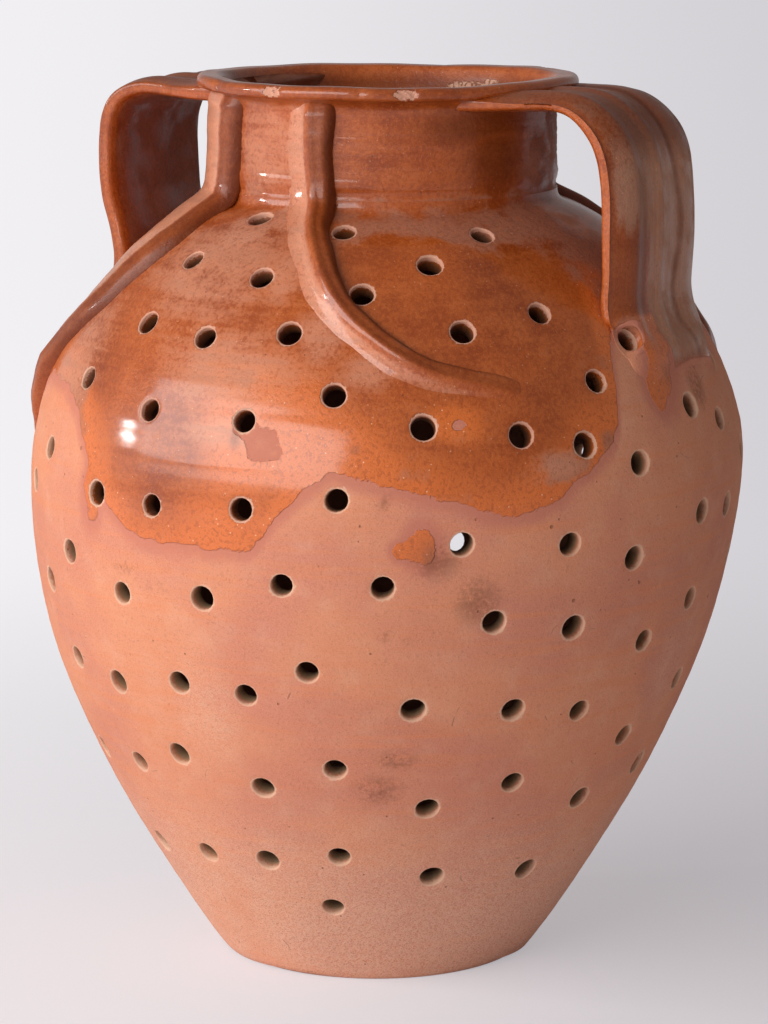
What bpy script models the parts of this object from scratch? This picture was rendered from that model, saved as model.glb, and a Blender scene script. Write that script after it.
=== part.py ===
"""A pierced terracotta pot for keeping live snails: a turned body in three thrown sections,
two wide strap handles pulled out from under the rim, four strips of clay luted on from the
neck over the shoulder, and rings of holes punched through the wall by hand.

The origin is the middle of the foot and +Z is up. The handles lie along X. Bearings are in
degrees, anticlockwise from +X as seen from above, and every other size is in metres."""

import math

import bmesh
import bpy
import numpy as np
from mathutils import Matrix, Vector

# Body
FOOT_RADIUS = 0.0615
FOOT_ROUND = 0.0020
BELLY_RADIUS = 0.1422
BELLY_HEIGHT = 0.200
BODY_HEIGHT = 0.302
BELLY_JOIN = 0.212
LOWER_FULLNESS = 0.94
SHOULDER_ROUND = 1.75
SHOULDER_CREST = 0.70
WALL = 0.0080
FLOOR = 0.0100
FLOOR_FILLET = 0.0120
CLAY_GAP = 0.0003

# Neck and rim
NECK_RADIUS = 0.0668
NECK_WALL = 0.0073
NECK_HEIGHT = 0.048
RIM_OVERHANG = 0.0084
RIM_THICKNESS = 0.0052
RIM_ROUND = 0.0015
RIM_COVE = 0.0040
LIP_WIDTH = 0.0097
MOUTH_FLARE = 0.0160

# Handles
HANDLE_REACH = 0.1185
HANDLE_WIDTH = 0.062
HANDLE_THICKNESS = 0.0090
HANDLE_DROP = 0.0015
HANDLE_SAG = 0.0030
HANDLE_BEND = 0.0230
HANDLE_RIDGE = 0.0009
HANDLE_ROOT_SPREAD = 0.0100
HANDLE_ROOT_FADE = 0.0090
HANDLE_FOOT_RISE = 0.0120
HANDLE_FOOT_FALL = 0.0180
HANDLE_FOOT_FLARE = 0.0500
HANDLE_FOOT_SPREAD = 0.0050
HANDLE_FOOT_FADE = 0.0120
HANDLE_SINK = 0.0040

# Strips: name, bearing of the root under the rim, sweep round the pot, and how soon it swings
STRIPS = (
    ("strip_front_right", -83, 47, 0.90),
    ("strip_front_left", -122, -36, 0.50),
    ("strip_back_right", 57, -38, 1.00),
    ("strip_back_left", 97, 45, 0.70),
)
STRIP_WIDTH = 0.0125
STRIP_PROUD = 0.0050
STRIP_FALL = 0.0620
STRIP_BEDDING = 0.0050
STRIP_ROOT_SPREAD = 0.0035
STRIP_TAIL = 0.45
STRIP_EASING = 0.0140

# Holes: ring height as a share of the body's height, holes in the ring, the bearing from the
# start of punching at which the count begins, and how much of the hand's sway it takes
HOLE_RADIUS = 0.0046
RINGS = (
    (0.980, 12, -14, 0.2),
    (0.932, 18, -14, 0.1),
    (0.868, 23, 8, 0.4),
    (0.757, 24, 16, 1.0),
    (0.641, 23, 5, 1.0),
    (0.533, 24, 10, 1.0),
    (0.404, 25, 0, 1.0),
    (0.291, 22, 5, 1.0),
    (0.169, 18, 9, 1.0),
    (0.113, 3, -16, 0.2),
)
PUNCHING_START = -60
# The hand's sway in height and drift in bearing: waves round the pot, size, start
SWAY = ((1, 0.0094, 90), (2, 0.0050, 0), (6, 0.0067, 13), (7, 0.0042, 192))
DRIFT = ((1, 6.9, 3), (3, 2.4, 216))
HOLE_TO_STRIP = 0.0090
HOLES_APART = 0.0140
HOLE_PAST_WALL = 0.0120
FOOT_HOLE_REACH = 0.60

# Fineness of the surfaces
TURNS = 44
LOWER_ROWS = 9
SHOULDER_ROWS = 8
HANDLE_STATIONS = 18
HANDLE_SIDES = 14
STRIP_STATIONS = 16
STRIP_SIDES = 8
HOLE_SIDES = 8
FINE = 400

RIM_RADIUS = NECK_RADIUS + RIM_OVERHANG
MOUTH_RADIUS = RIM_RADIUS - LIP_WIDTH
NECK_BORE = NECK_RADIUS - NECK_WALL
HEIGHT = BODY_HEIGHT + NECK_HEIGHT
HANDLES = (("handle_right", 0), ("handle_left", 180))

BARE_CLAY = ("bare_terracotta", (0.56, 0.21, 0.12, 1), 0.85)
GLAZE = ("amber_glaze", (0.47, 0.12, 0.035, 1), 0.22)


def wall_radius(height):
    """Outer radius of the body: a quarter sine from foot to belly, then a rounded crest that
    closes in to the neck."""
    low = np.clip(height / BELLY_HEIGHT, 0, 1)
    high = np.clip((height - BELLY_HEIGHT) / (BODY_HEIGHT - BELLY_HEIGHT), 0, 1)
    swelling = np.sin(math.pi / 2 * low) ** LOWER_FULLNESS
    closing = (1 - high**SHOULDER_ROUND) ** SHOULDER_CREST
    lower = FOOT_RADIUS + (BELLY_RADIUS - FOOT_RADIUS) * swelling
    upper = NECK_RADIUS + (BELLY_RADIUS - NECK_RADIUS) * closing
    return np.where(height < BELLY_HEIGHT, lower, upper)


def travelled(line):
    """Distance along the line at each of its points."""
    return np.r_[0, np.cumsum(np.linalg.norm(np.diff(line, axis=0), axis=1))]


def even(line, count):
    """The same line drawn through count points at equal steps."""
    walked = travelled(line)
    stops = np.linspace(0, walked[-1], count)
    return np.column_stack([np.interp(stops, walked, axis) for axis in line.T])


def beside(line, distance):
    """The flat line moved to the left of its direction by distance, with mitred corners."""
    steps = np.diff(line, axis=0)
    normals = np.column_stack([-steps[:, 1], steps[:, 0]])
    normals /= np.linalg.norm(normals, axis=1)[:, None]
    before = np.vstack([normals[:1], normals])
    after = np.vstack([normals, normals[-1:]])
    middle = before + after
    middle /= np.linalg.norm(middle, axis=1)[:, None]
    return line + middle * (distance / (middle * after).sum(axis=1))[:, None]


def stretch(line, low, high, count):
    """The part of a rising profile line between two heights, through count even points."""
    ends = [[np.interp(height, line[:, 1], line[:, 0]), height] for height in (low, high)]
    inside = line[(line[:, 1] > low) & (line[:, 1] < high)]
    return even(np.vstack([ends[:1], inside, ends[1:]]), count)


def arc(centre, radius, start, end, count):
    """Points on a circle in the profile plane, from one angle to another in degrees."""
    angles = np.radians(np.linspace(start, end, count))
    return np.array(centre) + radius * np.column_stack([np.cos(angles), np.sin(angles)])


def body_lines():
    """Outer and inner profile lines of the body, both rising from the foot to the neck."""
    heights = BODY_HEIGHT * np.sin(np.linspace(0, math.pi / 2, FINE))
    outer = np.column_stack([wall_radius(heights), heights])
    return outer, beside(outer, WALL)


def lower_body_profile(outer, inner):
    """Floor, inside of the wall up to the belly join, and the outside down to the foot."""
    top = BELLY_JOIN - CLAY_GAP / 2
    inside = stretch(inner, FLOOR + FLOOR_FILLET, top, LOWER_ROWS - 1)
    corner = np.array([np.interp(FLOOR, inner[:, 1], inner[:, 0]), FLOOR])
    start = corner - (FLOOR_FILLET, 0)
    ease = np.linspace(0, 1, 4)[:-1, None]
    fillet = (1 - ease) ** 2 * start + 2 * ease * (1 - ease) * corner + ease**2 * inside[0]
    outside = stretch(outer, FOOT_ROUND, top, LOWER_ROWS)[::-1]
    foot = [[FOOT_RADIUS - FOOT_ROUND, 0], [0, 0]]
    return np.vstack([[[0, FLOOR]], fillet, inside, outside, foot])


def shoulder_profile(outer, inner):
    """A ring from the belly join up to the level seat on which the neck was thrown."""
    bottom, top = BELLY_JOIN + CLAY_GAP / 2, BODY_HEIGHT - CLAY_GAP / 2
    vault = inner[inner[:, 0] > NECK_BORE]
    inside = stretch(vault, bottom, vault[-1, 1], SHOULDER_ROWS - 1)
    throat = [[NECK_BORE, inside[-1, 1]], [NECK_BORE, top]]
    outside = stretch(outer, bottom, top, SHOULDER_ROWS)[::-1]
    return np.vstack([inside, throat, outside])


def neck_outside():
    """Outside of the neck from the rim's top edge down to its seat on the shoulder."""
    edge = RIM_RADIUS - RIM_ROUND
    under = HEIGHT - RIM_THICKNESS
    cove = (NECK_RADIUS + RIM_COVE, under - RIM_COVE)
    return np.vstack([
        arc((edge, HEIGHT - RIM_ROUND), RIM_ROUND, 90, 0, 3),
        arc((edge, under + RIM_ROUND), RIM_ROUND, 0, -90, 3),
        arc(cove, RIM_COVE, 90, 180, 3),
        [[NECK_RADIUS, BODY_HEIGHT + CLAY_GAP / 2]],
    ])


def neck_profile():
    """Bore of the neck, flared mouth, flat lip, flanged rim and the outside of the neck."""
    seat = BODY_HEIGHT + CLAY_GAP / 2
    flare = [
        [NECK_BORE, seat],
        [NECK_BORE, HEIGHT - MOUTH_FLARE],
        [(NECK_BORE + MOUTH_RADIUS) / 2 - RIM_ROUND / 2, HEIGHT - MOUTH_FLARE / 2],
    ]
    lip = arc((MOUTH_RADIUS + RIM_ROUND, HEIGHT - RIM_ROUND), RIM_ROUND, 180, 90, 3)
    return np.vstack([flare, lip, neck_outside()])


def mesh_object(name, mesh, collection):
    thing = bpy.data.objects.new(name, mesh)
    collection.objects.link(thing)
    return thing


def turned(name, profile, collection, closed=True):
    """A profile at +X, running down its outer side, screwed round the Z axis."""
    points = [(radius, 0, height) for radius, height in profile]
    edges = [(i, i + 1) for i in range(len(points) - 1)]
    if closed:
        edges.append((len(points) - 1, 0))
    mesh = bpy.data.meshes.new(name)
    mesh.from_pydata(points, edges, [])
    thing = mesh_object(name, mesh, collection)
    screw = thing.modifiers.new("throwing", "SCREW")
    screw.steps = screw.render_steps = TURNS
    screw.use_merge_vertices = True
    screw.merge_threshold = 0.00001
    screw.use_smooth_shade = True
    return thing


def loft(name, rings, collection):
    """A closed skin through rings of equal point counts, capped at both ends."""
    stations, sides = rings.shape[:2]
    numbers = np.arange(stations * sides).reshape(stations, sides)
    beside_it = np.roll(numbers, -1, axis=1)
    corners = (numbers[:-1], beside_it[:-1], beside_it[1:], numbers[1:])
    skin = np.stack(corners, axis=-1).reshape(-1, 4).tolist()
    caps = [numbers[0][::-1].tolist(), numbers[-1].tolist()]
    mesh = bpy.data.meshes.new(name)
    mesh.from_pydata(rings.reshape(-1, 3).tolist(), [], skin + caps)
    shaped = bmesh.new()
    shaped.from_mesh(mesh)
    bmesh.ops.recalc_face_normals(shaped, faces=shaped.faces)
    shaped.to_mesh(mesh)
    shaped.free()
    mesh.shade_smooth()
    return mesh_object(name, mesh, collection)


def subtract(thing, cutter, label):
    cut = thing.modifiers.new(label, "BOOLEAN")
    cut.operation = "DIFFERENCE"
    cut.solver = "EXACT"
    cut.object = cutter


def seat_profile(outer):
    """The outside of the whole pot, grown by the clay gap: what is luted on stops at it."""
    rows = np.vstack([
        stretch(outer, FOOT_ROUND, BELLY_JOIN - CLAY_GAP / 2, LOWER_ROWS),
        stretch(outer, BELLY_JOIN + CLAY_GAP / 2, BODY_HEIGHT - CLAY_GAP / 2, SHOULDER_ROWS),
        neck_outside()[::-1],
    ])
    grown = beside(rows, -CLAY_GAP)
    above = HEIGHT + HANDLE_THICKNESS
    return np.vstack([[[0, above], [grown[-1, 0], above]], grown[::-1], [[0, FOOT_ROUND]]])


def seat_height(outer, radius):
    """Height at which the shoulder's outside has this radius."""
    shoulder = outer[outer[:, 1] >= BELLY_HEIGHT][::-1]
    return np.interp(radius, shoulder[:, 0], shoulder[:, 1])


def handle_line(outer):
    """Middle line of a handle in the plane of radius and height: out from the neck under the
    rim, round the bend, straight down, and away over the shoulder in a hollow curve."""
    reach = HANDLE_REACH - HANDLE_THICKNESS / 2
    level = HEIGHT - HANDLE_DROP - HANDLE_THICKNESS / 2
    crest = level - HANDLE_SAG
    bend = (reach - HANDLE_BEND, crest - HANDLE_BEND)
    flare = (reach + HANDLE_FOOT_FLARE, seat_height(outer, reach) + HANDLE_FOOT_RISE)
    turn = math.degrees(math.asin((HANDLE_FOOT_RISE + HANDLE_FOOT_FALL) / HANDLE_FOOT_FLARE))
    return np.vstack([
        [[NECK_RADIUS - HANDLE_SINK, level]],
        arc(bend, HANDLE_BEND, 90, 0, 12),
        arc(flare, HANDLE_FOOT_FLARE, 180, 180 + turn, 6),
    ])


def handle_rings(outer):
    """Cross-sections of a handle: a flattened oval, three finger ridges wide on its outside,
    spread where it is smeared on to the neck and the shoulder."""
    line = even(handle_line(outer), HANDLE_STATIONS)
    walked = travelled(line)
    ahead = np.gradient(line, axis=0)
    ahead /= np.linalg.norm(ahead, axis=1)[:, None]
    outward = np.column_stack([-ahead[:, 1], ahead[:, 0]])
    root = HANDLE_ROOT_SPREAD * np.exp(-walked / HANDLE_ROOT_FADE)
    foot = HANDLE_FOOT_SPREAD * np.exp((walked - walked[-1]) / HANDLE_FOOT_FADE)
    half = (HANDLE_WIDTH / 2 + root + foot)[:, None]
    turn = np.linspace(0, 2 * math.pi, HANDLE_SIDES, endpoint=False) + math.pi / HANDLE_SIDES
    across = np.sign(np.cos(turn)) * np.abs(np.cos(turn)) ** 0.8
    rise = np.sign(np.sin(turn)) * np.abs(np.sin(turn)) ** 0.45
    ridges = np.where(rise > 0, np.cos(3 * math.pi * across), 0)
    lift = HANDLE_THICKNESS / 2 * rise + HANDLE_RIDGE * ridges
    rings = np.empty((HANDLE_STATIONS, HANDLE_SIDES, 3))
    rings[..., 0] = line[:, :1] + outward[:, :1] * lift
    rings[..., 1] = half * across
    rings[..., 2] = line[:, 1:] + outward[:, 1:] * lift
    return rings


def strip_line(outer, root, sweep, swing):
    """Points and outward normals along a strip: down the neck, then round over the shoulder
    while it falls by a quarter sine."""
    share = np.linspace(0, 1, FINE) ** 1.5
    fall = STRIP_FALL * np.sin(math.pi / 2 * share**swing)
    shoulder = BODY_HEIGHT - fall
    neck = np.linspace(HEIGHT - RIM_THICKNESS + STRIP_BEDDING / 2, BODY_HEIGHT, FINE // 4)[:-1]
    height = np.r_[neck, shoulder]
    radius = np.r_[np.full(len(neck), NECK_RADIUS), wall_radius(shoulder)]
    bearing = np.radians(root + sweep * np.r_[np.zeros(len(neck)), share])
    slope = np.gradient(outer[:, 0], outer[:, 1])
    lean = np.interp(shoulder, outer[:, 1], slope)
    steep = np.r_[np.zeros(len(neck)), -lean / np.hypot(1, lean)]
    level = np.sqrt(1 - steep**2)
    around = np.column_stack([np.cos(bearing), np.sin(bearing)])
    points = np.column_stack([radius[:, None] * around, height])
    normals = np.column_stack([level[:, None] * around, steep])
    return points, normals


def smoothed(values, window):
    """Running mean, with the ends held."""
    padded = np.pad(values, ((window, window), (0, 0)), mode="edge")
    kernel = np.ones(2 * window + 1) / (2 * window + 1)
    return np.column_stack([np.convolve(axis, kernel, "valid") for axis in padded.T])


def strip_path(outer, root, sweep, swing):
    """The strip's line with its corner at the foot of the neck eased by a thumb."""
    points, normals = strip_line(outer, root, sweep, swing)
    walked = travelled(points)
    stops = np.linspace(0, walked[-1], FINE)
    both = np.hstack([points, normals])
    both = np.column_stack([np.interp(stops, walked, axis) for axis in both.T])
    window = round(STRIP_EASING / stops[1] / 2)
    both = smoothed(both, window)
    walked = travelled(both[:, :3])
    stops = np.linspace(0, walked[-1], STRIP_STATIONS)
    both = np.column_stack([np.interp(stops, walked, axis) for axis in both.T])
    return both[:, :3], both[:, 3:], stops


def strip_rings(points, normals, walked):
    """Cross-sections of a strip: a low dome bedded in the wall, widest under the rim and
    thinned out towards its tail."""
    ahead = np.gradient(points, axis=0)
    ahead /= np.linalg.norm(ahead, axis=1)[:, None]
    normals = normals - (normals * ahead).sum(axis=1)[:, None] * ahead
    normals /= np.linalg.norm(normals, axis=1)[:, None]
    across = np.cross(ahead, normals)
    share = walked / walked[-1]
    thinning = 1 - (1 - STRIP_TAIL) * share**2
    half = STRIP_WIDTH / 2 * thinning + STRIP_ROOT_SPREAD / 2 * np.exp(-share * 12)
    proud = STRIP_PROUD * thinning
    turn = np.linspace(0, 2 * math.pi, STRIP_SIDES, endpoint=False) + math.pi / STRIP_SIDES
    wide = half[:, None] * np.cos(turn)
    rise = np.where(np.sin(turn) > 0, proud[:, None], STRIP_BEDDING) * np.sin(turn)
    return points[:, None] + across[:, None] * wide[..., None] + normals[:, None] * rise[..., None]


def wave(parts, bearing):
    return sum(size * math.cos(math.radians(count * bearing + start)) for count, size, start in parts)


def hole_places():
    """Bearing and height of each hole: level rings drawn off by the hand's sway and drift."""
    places = []
    for share, count, first, swayed in RINGS:
        for number in range(count):
            spaced = first + number * 360 / count
            bearing = spaced + wave(DRIFT, spaced)
            height = BODY_HEIGHT * share + swayed * wave(SWAY, bearing)
            places.append((PUNCHING_START + bearing, height))
    return places


def wall_frame(outer, bearing, height):
    """Point on the outside of the wall and the direction straight out of it."""
    radius = np.interp(height, outer[:, 1], outer[:, 0])
    lean = np.interp(height, outer[:, 1], np.gradient(outer[:, 0], outer[:, 1]))
    around = Vector((math.cos(math.radians(bearing)), math.sin(math.radians(bearing)), 0))
    normal = (around - Vector((0, 0, lean))).normalized()
    return around * radius + Vector((0, 0, height)), normal


def under_a_strip(point, paths):
    return any(
        np.linalg.norm(path - np.array(point), axis=1).min() < HOLE_TO_STRIP for path in paths
    )


def beside_another(point, punched):
    return any((point - other[0]).length < HOLES_APART for other in punched)


def sort_holes(outer, paths):
    """The holes in the open wall, and those that also pierce the foot of a handle near its
    front edge. None was punched where a strip or the rest of a handle's foot lies, or hard by
    another hole."""
    foot_end = handle_line(outer)[-1, 1]
    foot_start = seat_height(outer, HANDLE_REACH - HANDLE_THICKNESS - HOLE_RADIUS)
    foot_edge = HANDLE_WIDTH / 2 + HANDLE_FOOT_SPREAD + HOLE_RADIUS
    open_wall, through_foot = [], []
    for bearing, height in hole_places():
        point, normal = wall_frame(outer, bearing, height)
        if under_a_strip(point, paths) or beside_another(point, open_wall):
            continue
        if not foot_end < height < foot_start or abs(point.y) > foot_edge:
            open_wall.append((point, normal, height))
        elif -point.y > HANDLE_WIDTH / 2 * FOOT_HOLE_REACH:
            through_foot.append((point, normal, height))
    return open_wall, through_foot


def punches(name, holes, collection):
    """Pins of the hole's size, square to the wall and longer than it is thick."""
    shaped = bmesh.new()
    for point, normal, _ in holes:
        centre = point - normal * WALL / 2
        turn = normal.to_track_quat("Z", "Y").to_matrix().to_4x4()
        bmesh.ops.create_cone(
            shaped,
            cap_ends=True,
            segments=HOLE_SIDES,
            radius1=HOLE_RADIUS,
            radius2=HOLE_RADIUS,
            depth=WALL + 2 * HOLE_PAST_WALL,
            matrix=Matrix.Translation(centre) @ turn,
        )
    mesh = bpy.data.meshes.new(name)
    shaped.to_mesh(mesh)
    shaped.free()
    return mesh_object(name, mesh, collection)


def clay(name, colour, roughness):
    material = bpy.data.materials.new(name)
    material.use_nodes = True
    shader = material.node_tree.nodes["Principled BSDF"]
    shader.inputs["Base Color"].default_value = colour
    shader.inputs["Roughness"].default_value = roughness
    shader.inputs["Metallic"].default_value = 0
    material.diffuse_color = colour
    return material


def clear_scene():
    for thing in list(bpy.data.objects):
        bpy.data.objects.remove(thing, do_unlink=True)


def new_collection(name, hidden):
    collection = bpy.data.collections.new(name)
    collection.hide_render = hidden
    bpy.context.scene.collection.children.link(collection)
    return collection


def build_body(pot, outer, inner, holes, cutters):
    """The three thrown sections, pierced where their holes fall."""
    sections = (
        ("lower_body", lower_body_profile(outer, inner), 0, BELLY_JOIN, False, BARE_CLAY),
        ("shoulder", shoulder_profile(outer, inner), BELLY_JOIN, BODY_HEIGHT, True, GLAZE),
    )
    for name, profile, low, high, closed, finish in sections:
        section = turned(name, profile, pot, closed)
        near = 1.5 * HOLE_RADIUS
        mine = [hole for hole in holes if low - near < hole[2] < high + near]
        subtract(section, punches(name + "_punches", mine, cutters), "piercing")
        section.data.materials.append(clay(*finish))
    neck = turned("neck", neck_profile(), pot)
    neck.data.materials.append(clay(*GLAZE))


def build_handles(pot, outer, seat, holes, cutters):
    """The two handles, one half a turn from the other, cut off at the wall they are luted to."""
    shape = loft("handle_shape", handle_rings(outer), cutters)
    shape.data.materials.append(clay(*GLAZE))
    for name, bearing in HANDLES:
        handle = mesh_object(name, shape.data, pot)
        handle.rotation_euler.z = math.radians(bearing)
        subtract(handle, seat, "seat on the pot")
        side = math.cos(math.radians(bearing))
        mine = [hole for hole in holes if hole[0].x * side > 0]
        if mine:
            subtract(handle, punches(name + "_punches", mine, cutters), "piercing")
    bpy.data.objects.remove(shape, do_unlink=True)


def build_strips(pot, paths, seat):
    for name, (points, normals, walked) in paths.items():
        strip = loft(name, strip_rings(points, normals, walked), pot)
        strip.data.materials.append(clay(*GLAZE))
        subtract(strip, seat, "seat on the pot")


def build():
    clear_scene()
    pot = new_collection("snail_pot", hidden=False)
    cutters = new_collection("cutters", hidden=True)
    outer, inner = body_lines()
    paths = {name: strip_path(outer, *shape) for name, *shape in STRIPS}
    open_wall, through_foot = sort_holes(outer, [points for points, _, _ in paths.values()])
    seat = turned("outside_of_the_pot", seat_profile(outer), cutters, closed=False)
    build_body(pot, outer, inner, open_wall + through_foot, cutters)
    build_handles(pot, outer, seat, through_foot, cutters)
    build_strips(pot, paths, seat)
    for cutter in cutters.objects:
        cutter.hide_render = True
        cutter.display_type = "WIRE"


build()
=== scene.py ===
import math

import bpy
import numpy as np
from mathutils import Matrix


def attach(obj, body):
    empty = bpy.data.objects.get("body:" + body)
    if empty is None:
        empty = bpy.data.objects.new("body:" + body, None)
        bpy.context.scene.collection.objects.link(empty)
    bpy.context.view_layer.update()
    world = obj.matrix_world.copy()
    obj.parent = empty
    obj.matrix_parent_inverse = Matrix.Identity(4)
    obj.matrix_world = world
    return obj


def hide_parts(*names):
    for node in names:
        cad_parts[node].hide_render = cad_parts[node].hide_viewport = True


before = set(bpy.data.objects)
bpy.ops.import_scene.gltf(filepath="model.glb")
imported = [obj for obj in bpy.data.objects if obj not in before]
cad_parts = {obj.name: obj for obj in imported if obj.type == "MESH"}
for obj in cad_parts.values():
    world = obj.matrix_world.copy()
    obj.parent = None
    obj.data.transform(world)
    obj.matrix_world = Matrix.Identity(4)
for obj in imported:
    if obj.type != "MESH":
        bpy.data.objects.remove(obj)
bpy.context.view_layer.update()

# Lower body: the bowl-shaped section that was thrown first, from the flat foot to the widest
# part of the belly. It is bare red earthenware, 8 mm thick, and every hole in it was punched
# from outside with a round stick while the clay was soft.
MM = 0.001
FOOT_RADIUS, BELLY_RADIUS, NECK_RADIUS = 61.5 * MM, 142.2 * MM, 66.8 * MM
BELLY_HEIGHT, BODY_HEIGHT, RIM_UNDER = 200 * MM, 302 * MM, 345 * MM
JOIN_HEIGHT = 216 * MM
JOIN_TO_HOLE = 9 * MM
WALL = 8 * MM
LINE_STEP = 0.25 * MM
FACING = math.radians(-60)  # bearing that faces the photographer: the others are counted from it
SIDEWAYS = np.array([-math.sin(FACING), math.cos(FACING)])
EYE_AWAY, EYE_HEIGHT = 1.4251, 0.44435  # the lens, from the axis and from the floor, as fitted
EYE = np.array([EYE_AWAY * math.cos(FACING), EYE_AWAY * math.sin(FACING), EYE_HEIGHT])


def held(values, most=1.0):
    """Values kept between 0 and the most."""
    return np.clip(values, 0, most)


def walk(line):
    """How far along a line each of its points lies, by its first two columns."""
    return np.r_[0, np.cumsum(np.hypot(*np.diff(line[:, :2], axis=0).T))]


def at_stops(line, stops):
    """The columns of a line at these distances along it."""
    walked = walk(line)
    return np.column_stack([np.interp(stops, walked, column) for column in line.T])


def running_mean(line, weights):
    """Each column averaged over its neighbours by these weights; the ends drop off."""
    share = weights / weights.sum()
    return np.column_stack([np.convolve(column, share, "valid") for column in line.T])


def body_line(easing):
    """Radius and height along the wall's outside. A quarter sine from foot to belly, then a
    rounded crest that closes to the neck, then the straight neck. Points lie evenly, and a
    bell-shaped running mean, easing wide, rounds the corner at the foot of the neck."""
    height = BODY_HEIGHT * np.sin(np.linspace(0, math.pi / 2, 2000))
    low = held(height / BELLY_HEIGHT)
    high = held((height - BELLY_HEIGHT) / (BODY_HEIGHT - BELLY_HEIGHT))
    lower = FOOT_RADIUS + (BELLY_RADIUS - FOOT_RADIUS) * np.sin(math.pi / 2 * low) ** 0.94
    upper = NECK_RADIUS + (BELLY_RADIUS - NECK_RADIUS) * (1 - high**1.75) ** 0.70
    radius = np.where(height < BELLY_HEIGHT, lower, upper)
    line = np.vstack([np.column_stack([radius, height]), [[NECK_RADIUS, RIM_UNDER + 20 * MM]]])
    even = at_stops(line, np.arange(0, walk(line)[-1], LINE_STEP))
    reach = round(3 * easing / LINE_STEP)
    bell = np.exp(-((np.arange(-reach, reach + 1) * LINE_STEP / easing) ** 2) / 2)
    before, after = 2 * even[0] - even[reach:0:-1], 2 * even[-1] - even[-2 : -reach - 2 : -1]
    return running_mean(np.vstack([before, even, after]), bell)


def measured(line):
    """The line with its running length in front and its outward direction behind."""
    ahead = np.gradient(line, axis=0)
    ahead /= np.hypot(*ahead.T)[:, None]
    return np.column_stack([walk(line), line, ahead[:, 1], -ahead[:, 0]])


WALL_LINE = measured(body_line(2.6 * MM))


def bump(x, middle, width):
    """A bell: 1 at the middle, fading with the square of the distance over the width."""
    return np.exp(-(((x - middle) / width) ** 2))


def turned_to(bearing, centre):
    """Difference of two bearings in radians, from -pi to pi."""
    return (bearing - centre + math.pi) % (2 * math.pi) - math.pi


def unevenness(bearing, height):
    """How far the outside stands proud of the rule: a flat where the belly sagged on the left,
    slow waves round the pot, and throwing rings that climb it in a spiral."""
    seen = turned_to(bearing, FACING)
    flat = -2.3 * bump(height, 0.195, 0.050) * bump(seen, math.radians(-95), 0.75)
    slow = 0.45 * np.sin(2 * bearing + 9 * height) + 0.35 * np.sin(3 * bearing - 21 * height + 1)
    climb = height / 0.0125 + bearing / (2 * math.pi)
    rings = 0.035 * np.sin(2 * math.pi * climb) + 0.025 * np.sin(4.4 * math.pi * climb + 2 * bearing)
    dents = 0.22 * np.sin(7 * bearing + 60 * height) * np.sin(5 * bearing - 47 * height + 2)
    return (flat + slow + rings + dents) * MM


LEAN, LEAN_HEIGHT = 4.2 * MM, 0.215


def leaned(points, way=1):
    """The lower half stands a little to the left of the upper: a cubic that ends at the belly."""
    share = held(1 - (held(points[..., 2]) / LEAN_HEIGHT) ** 3)
    moved = points.copy()
    moved[..., :2] -= way * LEAN * share[..., None] * SIDEWAYS
    return moved


def finger_rings(bearing, height):
    """Grooves that the fingers left inside, which climb in a spiral, 17 mm a turn."""
    return 0.45 * MM * np.sin(2 * math.pi * (height / 0.017 + bearing / (2 * math.pi)))


def round_axis(radius, bearing, height):
    """Points at a radius, a bearing and a height."""
    return np.stack([radius * np.cos(bearing), radius * np.sin(bearing), height + 0 * bearing], -1)


def wall(bearing, along, depth=0.0, line=WALL_LINE):
    """Points of the wall from bearing, distance up the outside and depth into the clay, square
    to the outside. The unevenness fades into the wall, and the inside has its own rings."""
    radius, height, out, up = (np.interp(along, line[:, 0], column) for column in line.T[1:])
    inward = held(depth / WALL)
    proud = (1 - inward) * unevenness(bearing, height) + inward * finger_rings(bearing, height) - depth
    return leaned(round_axis(radius + out * proud, bearing, height + up * proud))


def along_at(height):
    """Distance up the outside at a height."""
    return np.interp(height, WALL_LINE[:, 2], WALL_LINE[:, 0])


# The holes that the photograph shows, ring by ring: bearing from the facing side, height in mm
SHOWN_HOLES = (
    ((-80.8, 296.7), (-39.6, 299.3), (-11.4, 296.5), (25.1, 294.9)),
    ((-75.7, 278.2), (-48.3, 284.4), (-27.2, 280.9), (-5.0, 276.5), (9.5, 285.9)),
    ((-49.6, 262.4), (-34.2, 259.9), (-17.7, 263.1), (13.6, 263.6), (29.6, 268.3), (46.8, 256.0)),
    ((-59.8, 239.9), (-40.9, 233.1), (-22.8, 232.7), (-8.5, 242.7), (5.6, 231.7), (20.8, 227.7),
     (31.5, 222.6), (36.3, 244.0), (57.2, 230.2), (66.9, 222.1), (73.6, 242.3)),
    ((-67.5, 210.9), (-50.2, 199.6), (-37.6, 198.9), (-21.8, 200.9), (-7.2, 206.0),
     (11.6, 189.6), (28.8, 186.9), (41.6, 213.7), (58.0, 190.0), (69.0, 188.2), (79.0, 206.5)),
    ((-75.2, 194.9), (-58.5, 173.7), (-44.6, 162.9), (-28.3, 165.9), (-15.1, 173.5), (0.2, 173.7),
     (17.5, 159.3), (31.3, 154.2), (41.5, 178.0), (59.4, 155.2), (78.6, 163.8)),
    ((-68.7, 158.0), (-63.0, 129.3), (-50.2, 124.9), (-34.7, 130.5), (-22.1, 128.9),
     (-11.3, 140.1), (5.8, 125.3), (23.0, 123.0), (36.6, 118.6), (47.7, 143.3), (65.9, 119.4)),
    ((-70.0, 88.5), (-52.3, 90.6), (-38.9, 99.4), (-21.7, 90.0), (-7.4, 100.2), (9.9, 82.5),
     (26.2, 91.2), (51.6, 102.2), (64.4, 84.9)),
    ((-61.9, 52.1), (-41.9, 55.1), (-24.9, 56.7), (-8.0, 60.7), (13.1, 50.5), (38.7, 48.0),
     (45.7, 77.8)),
    ((-11.1, 36.3),),
)
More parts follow.
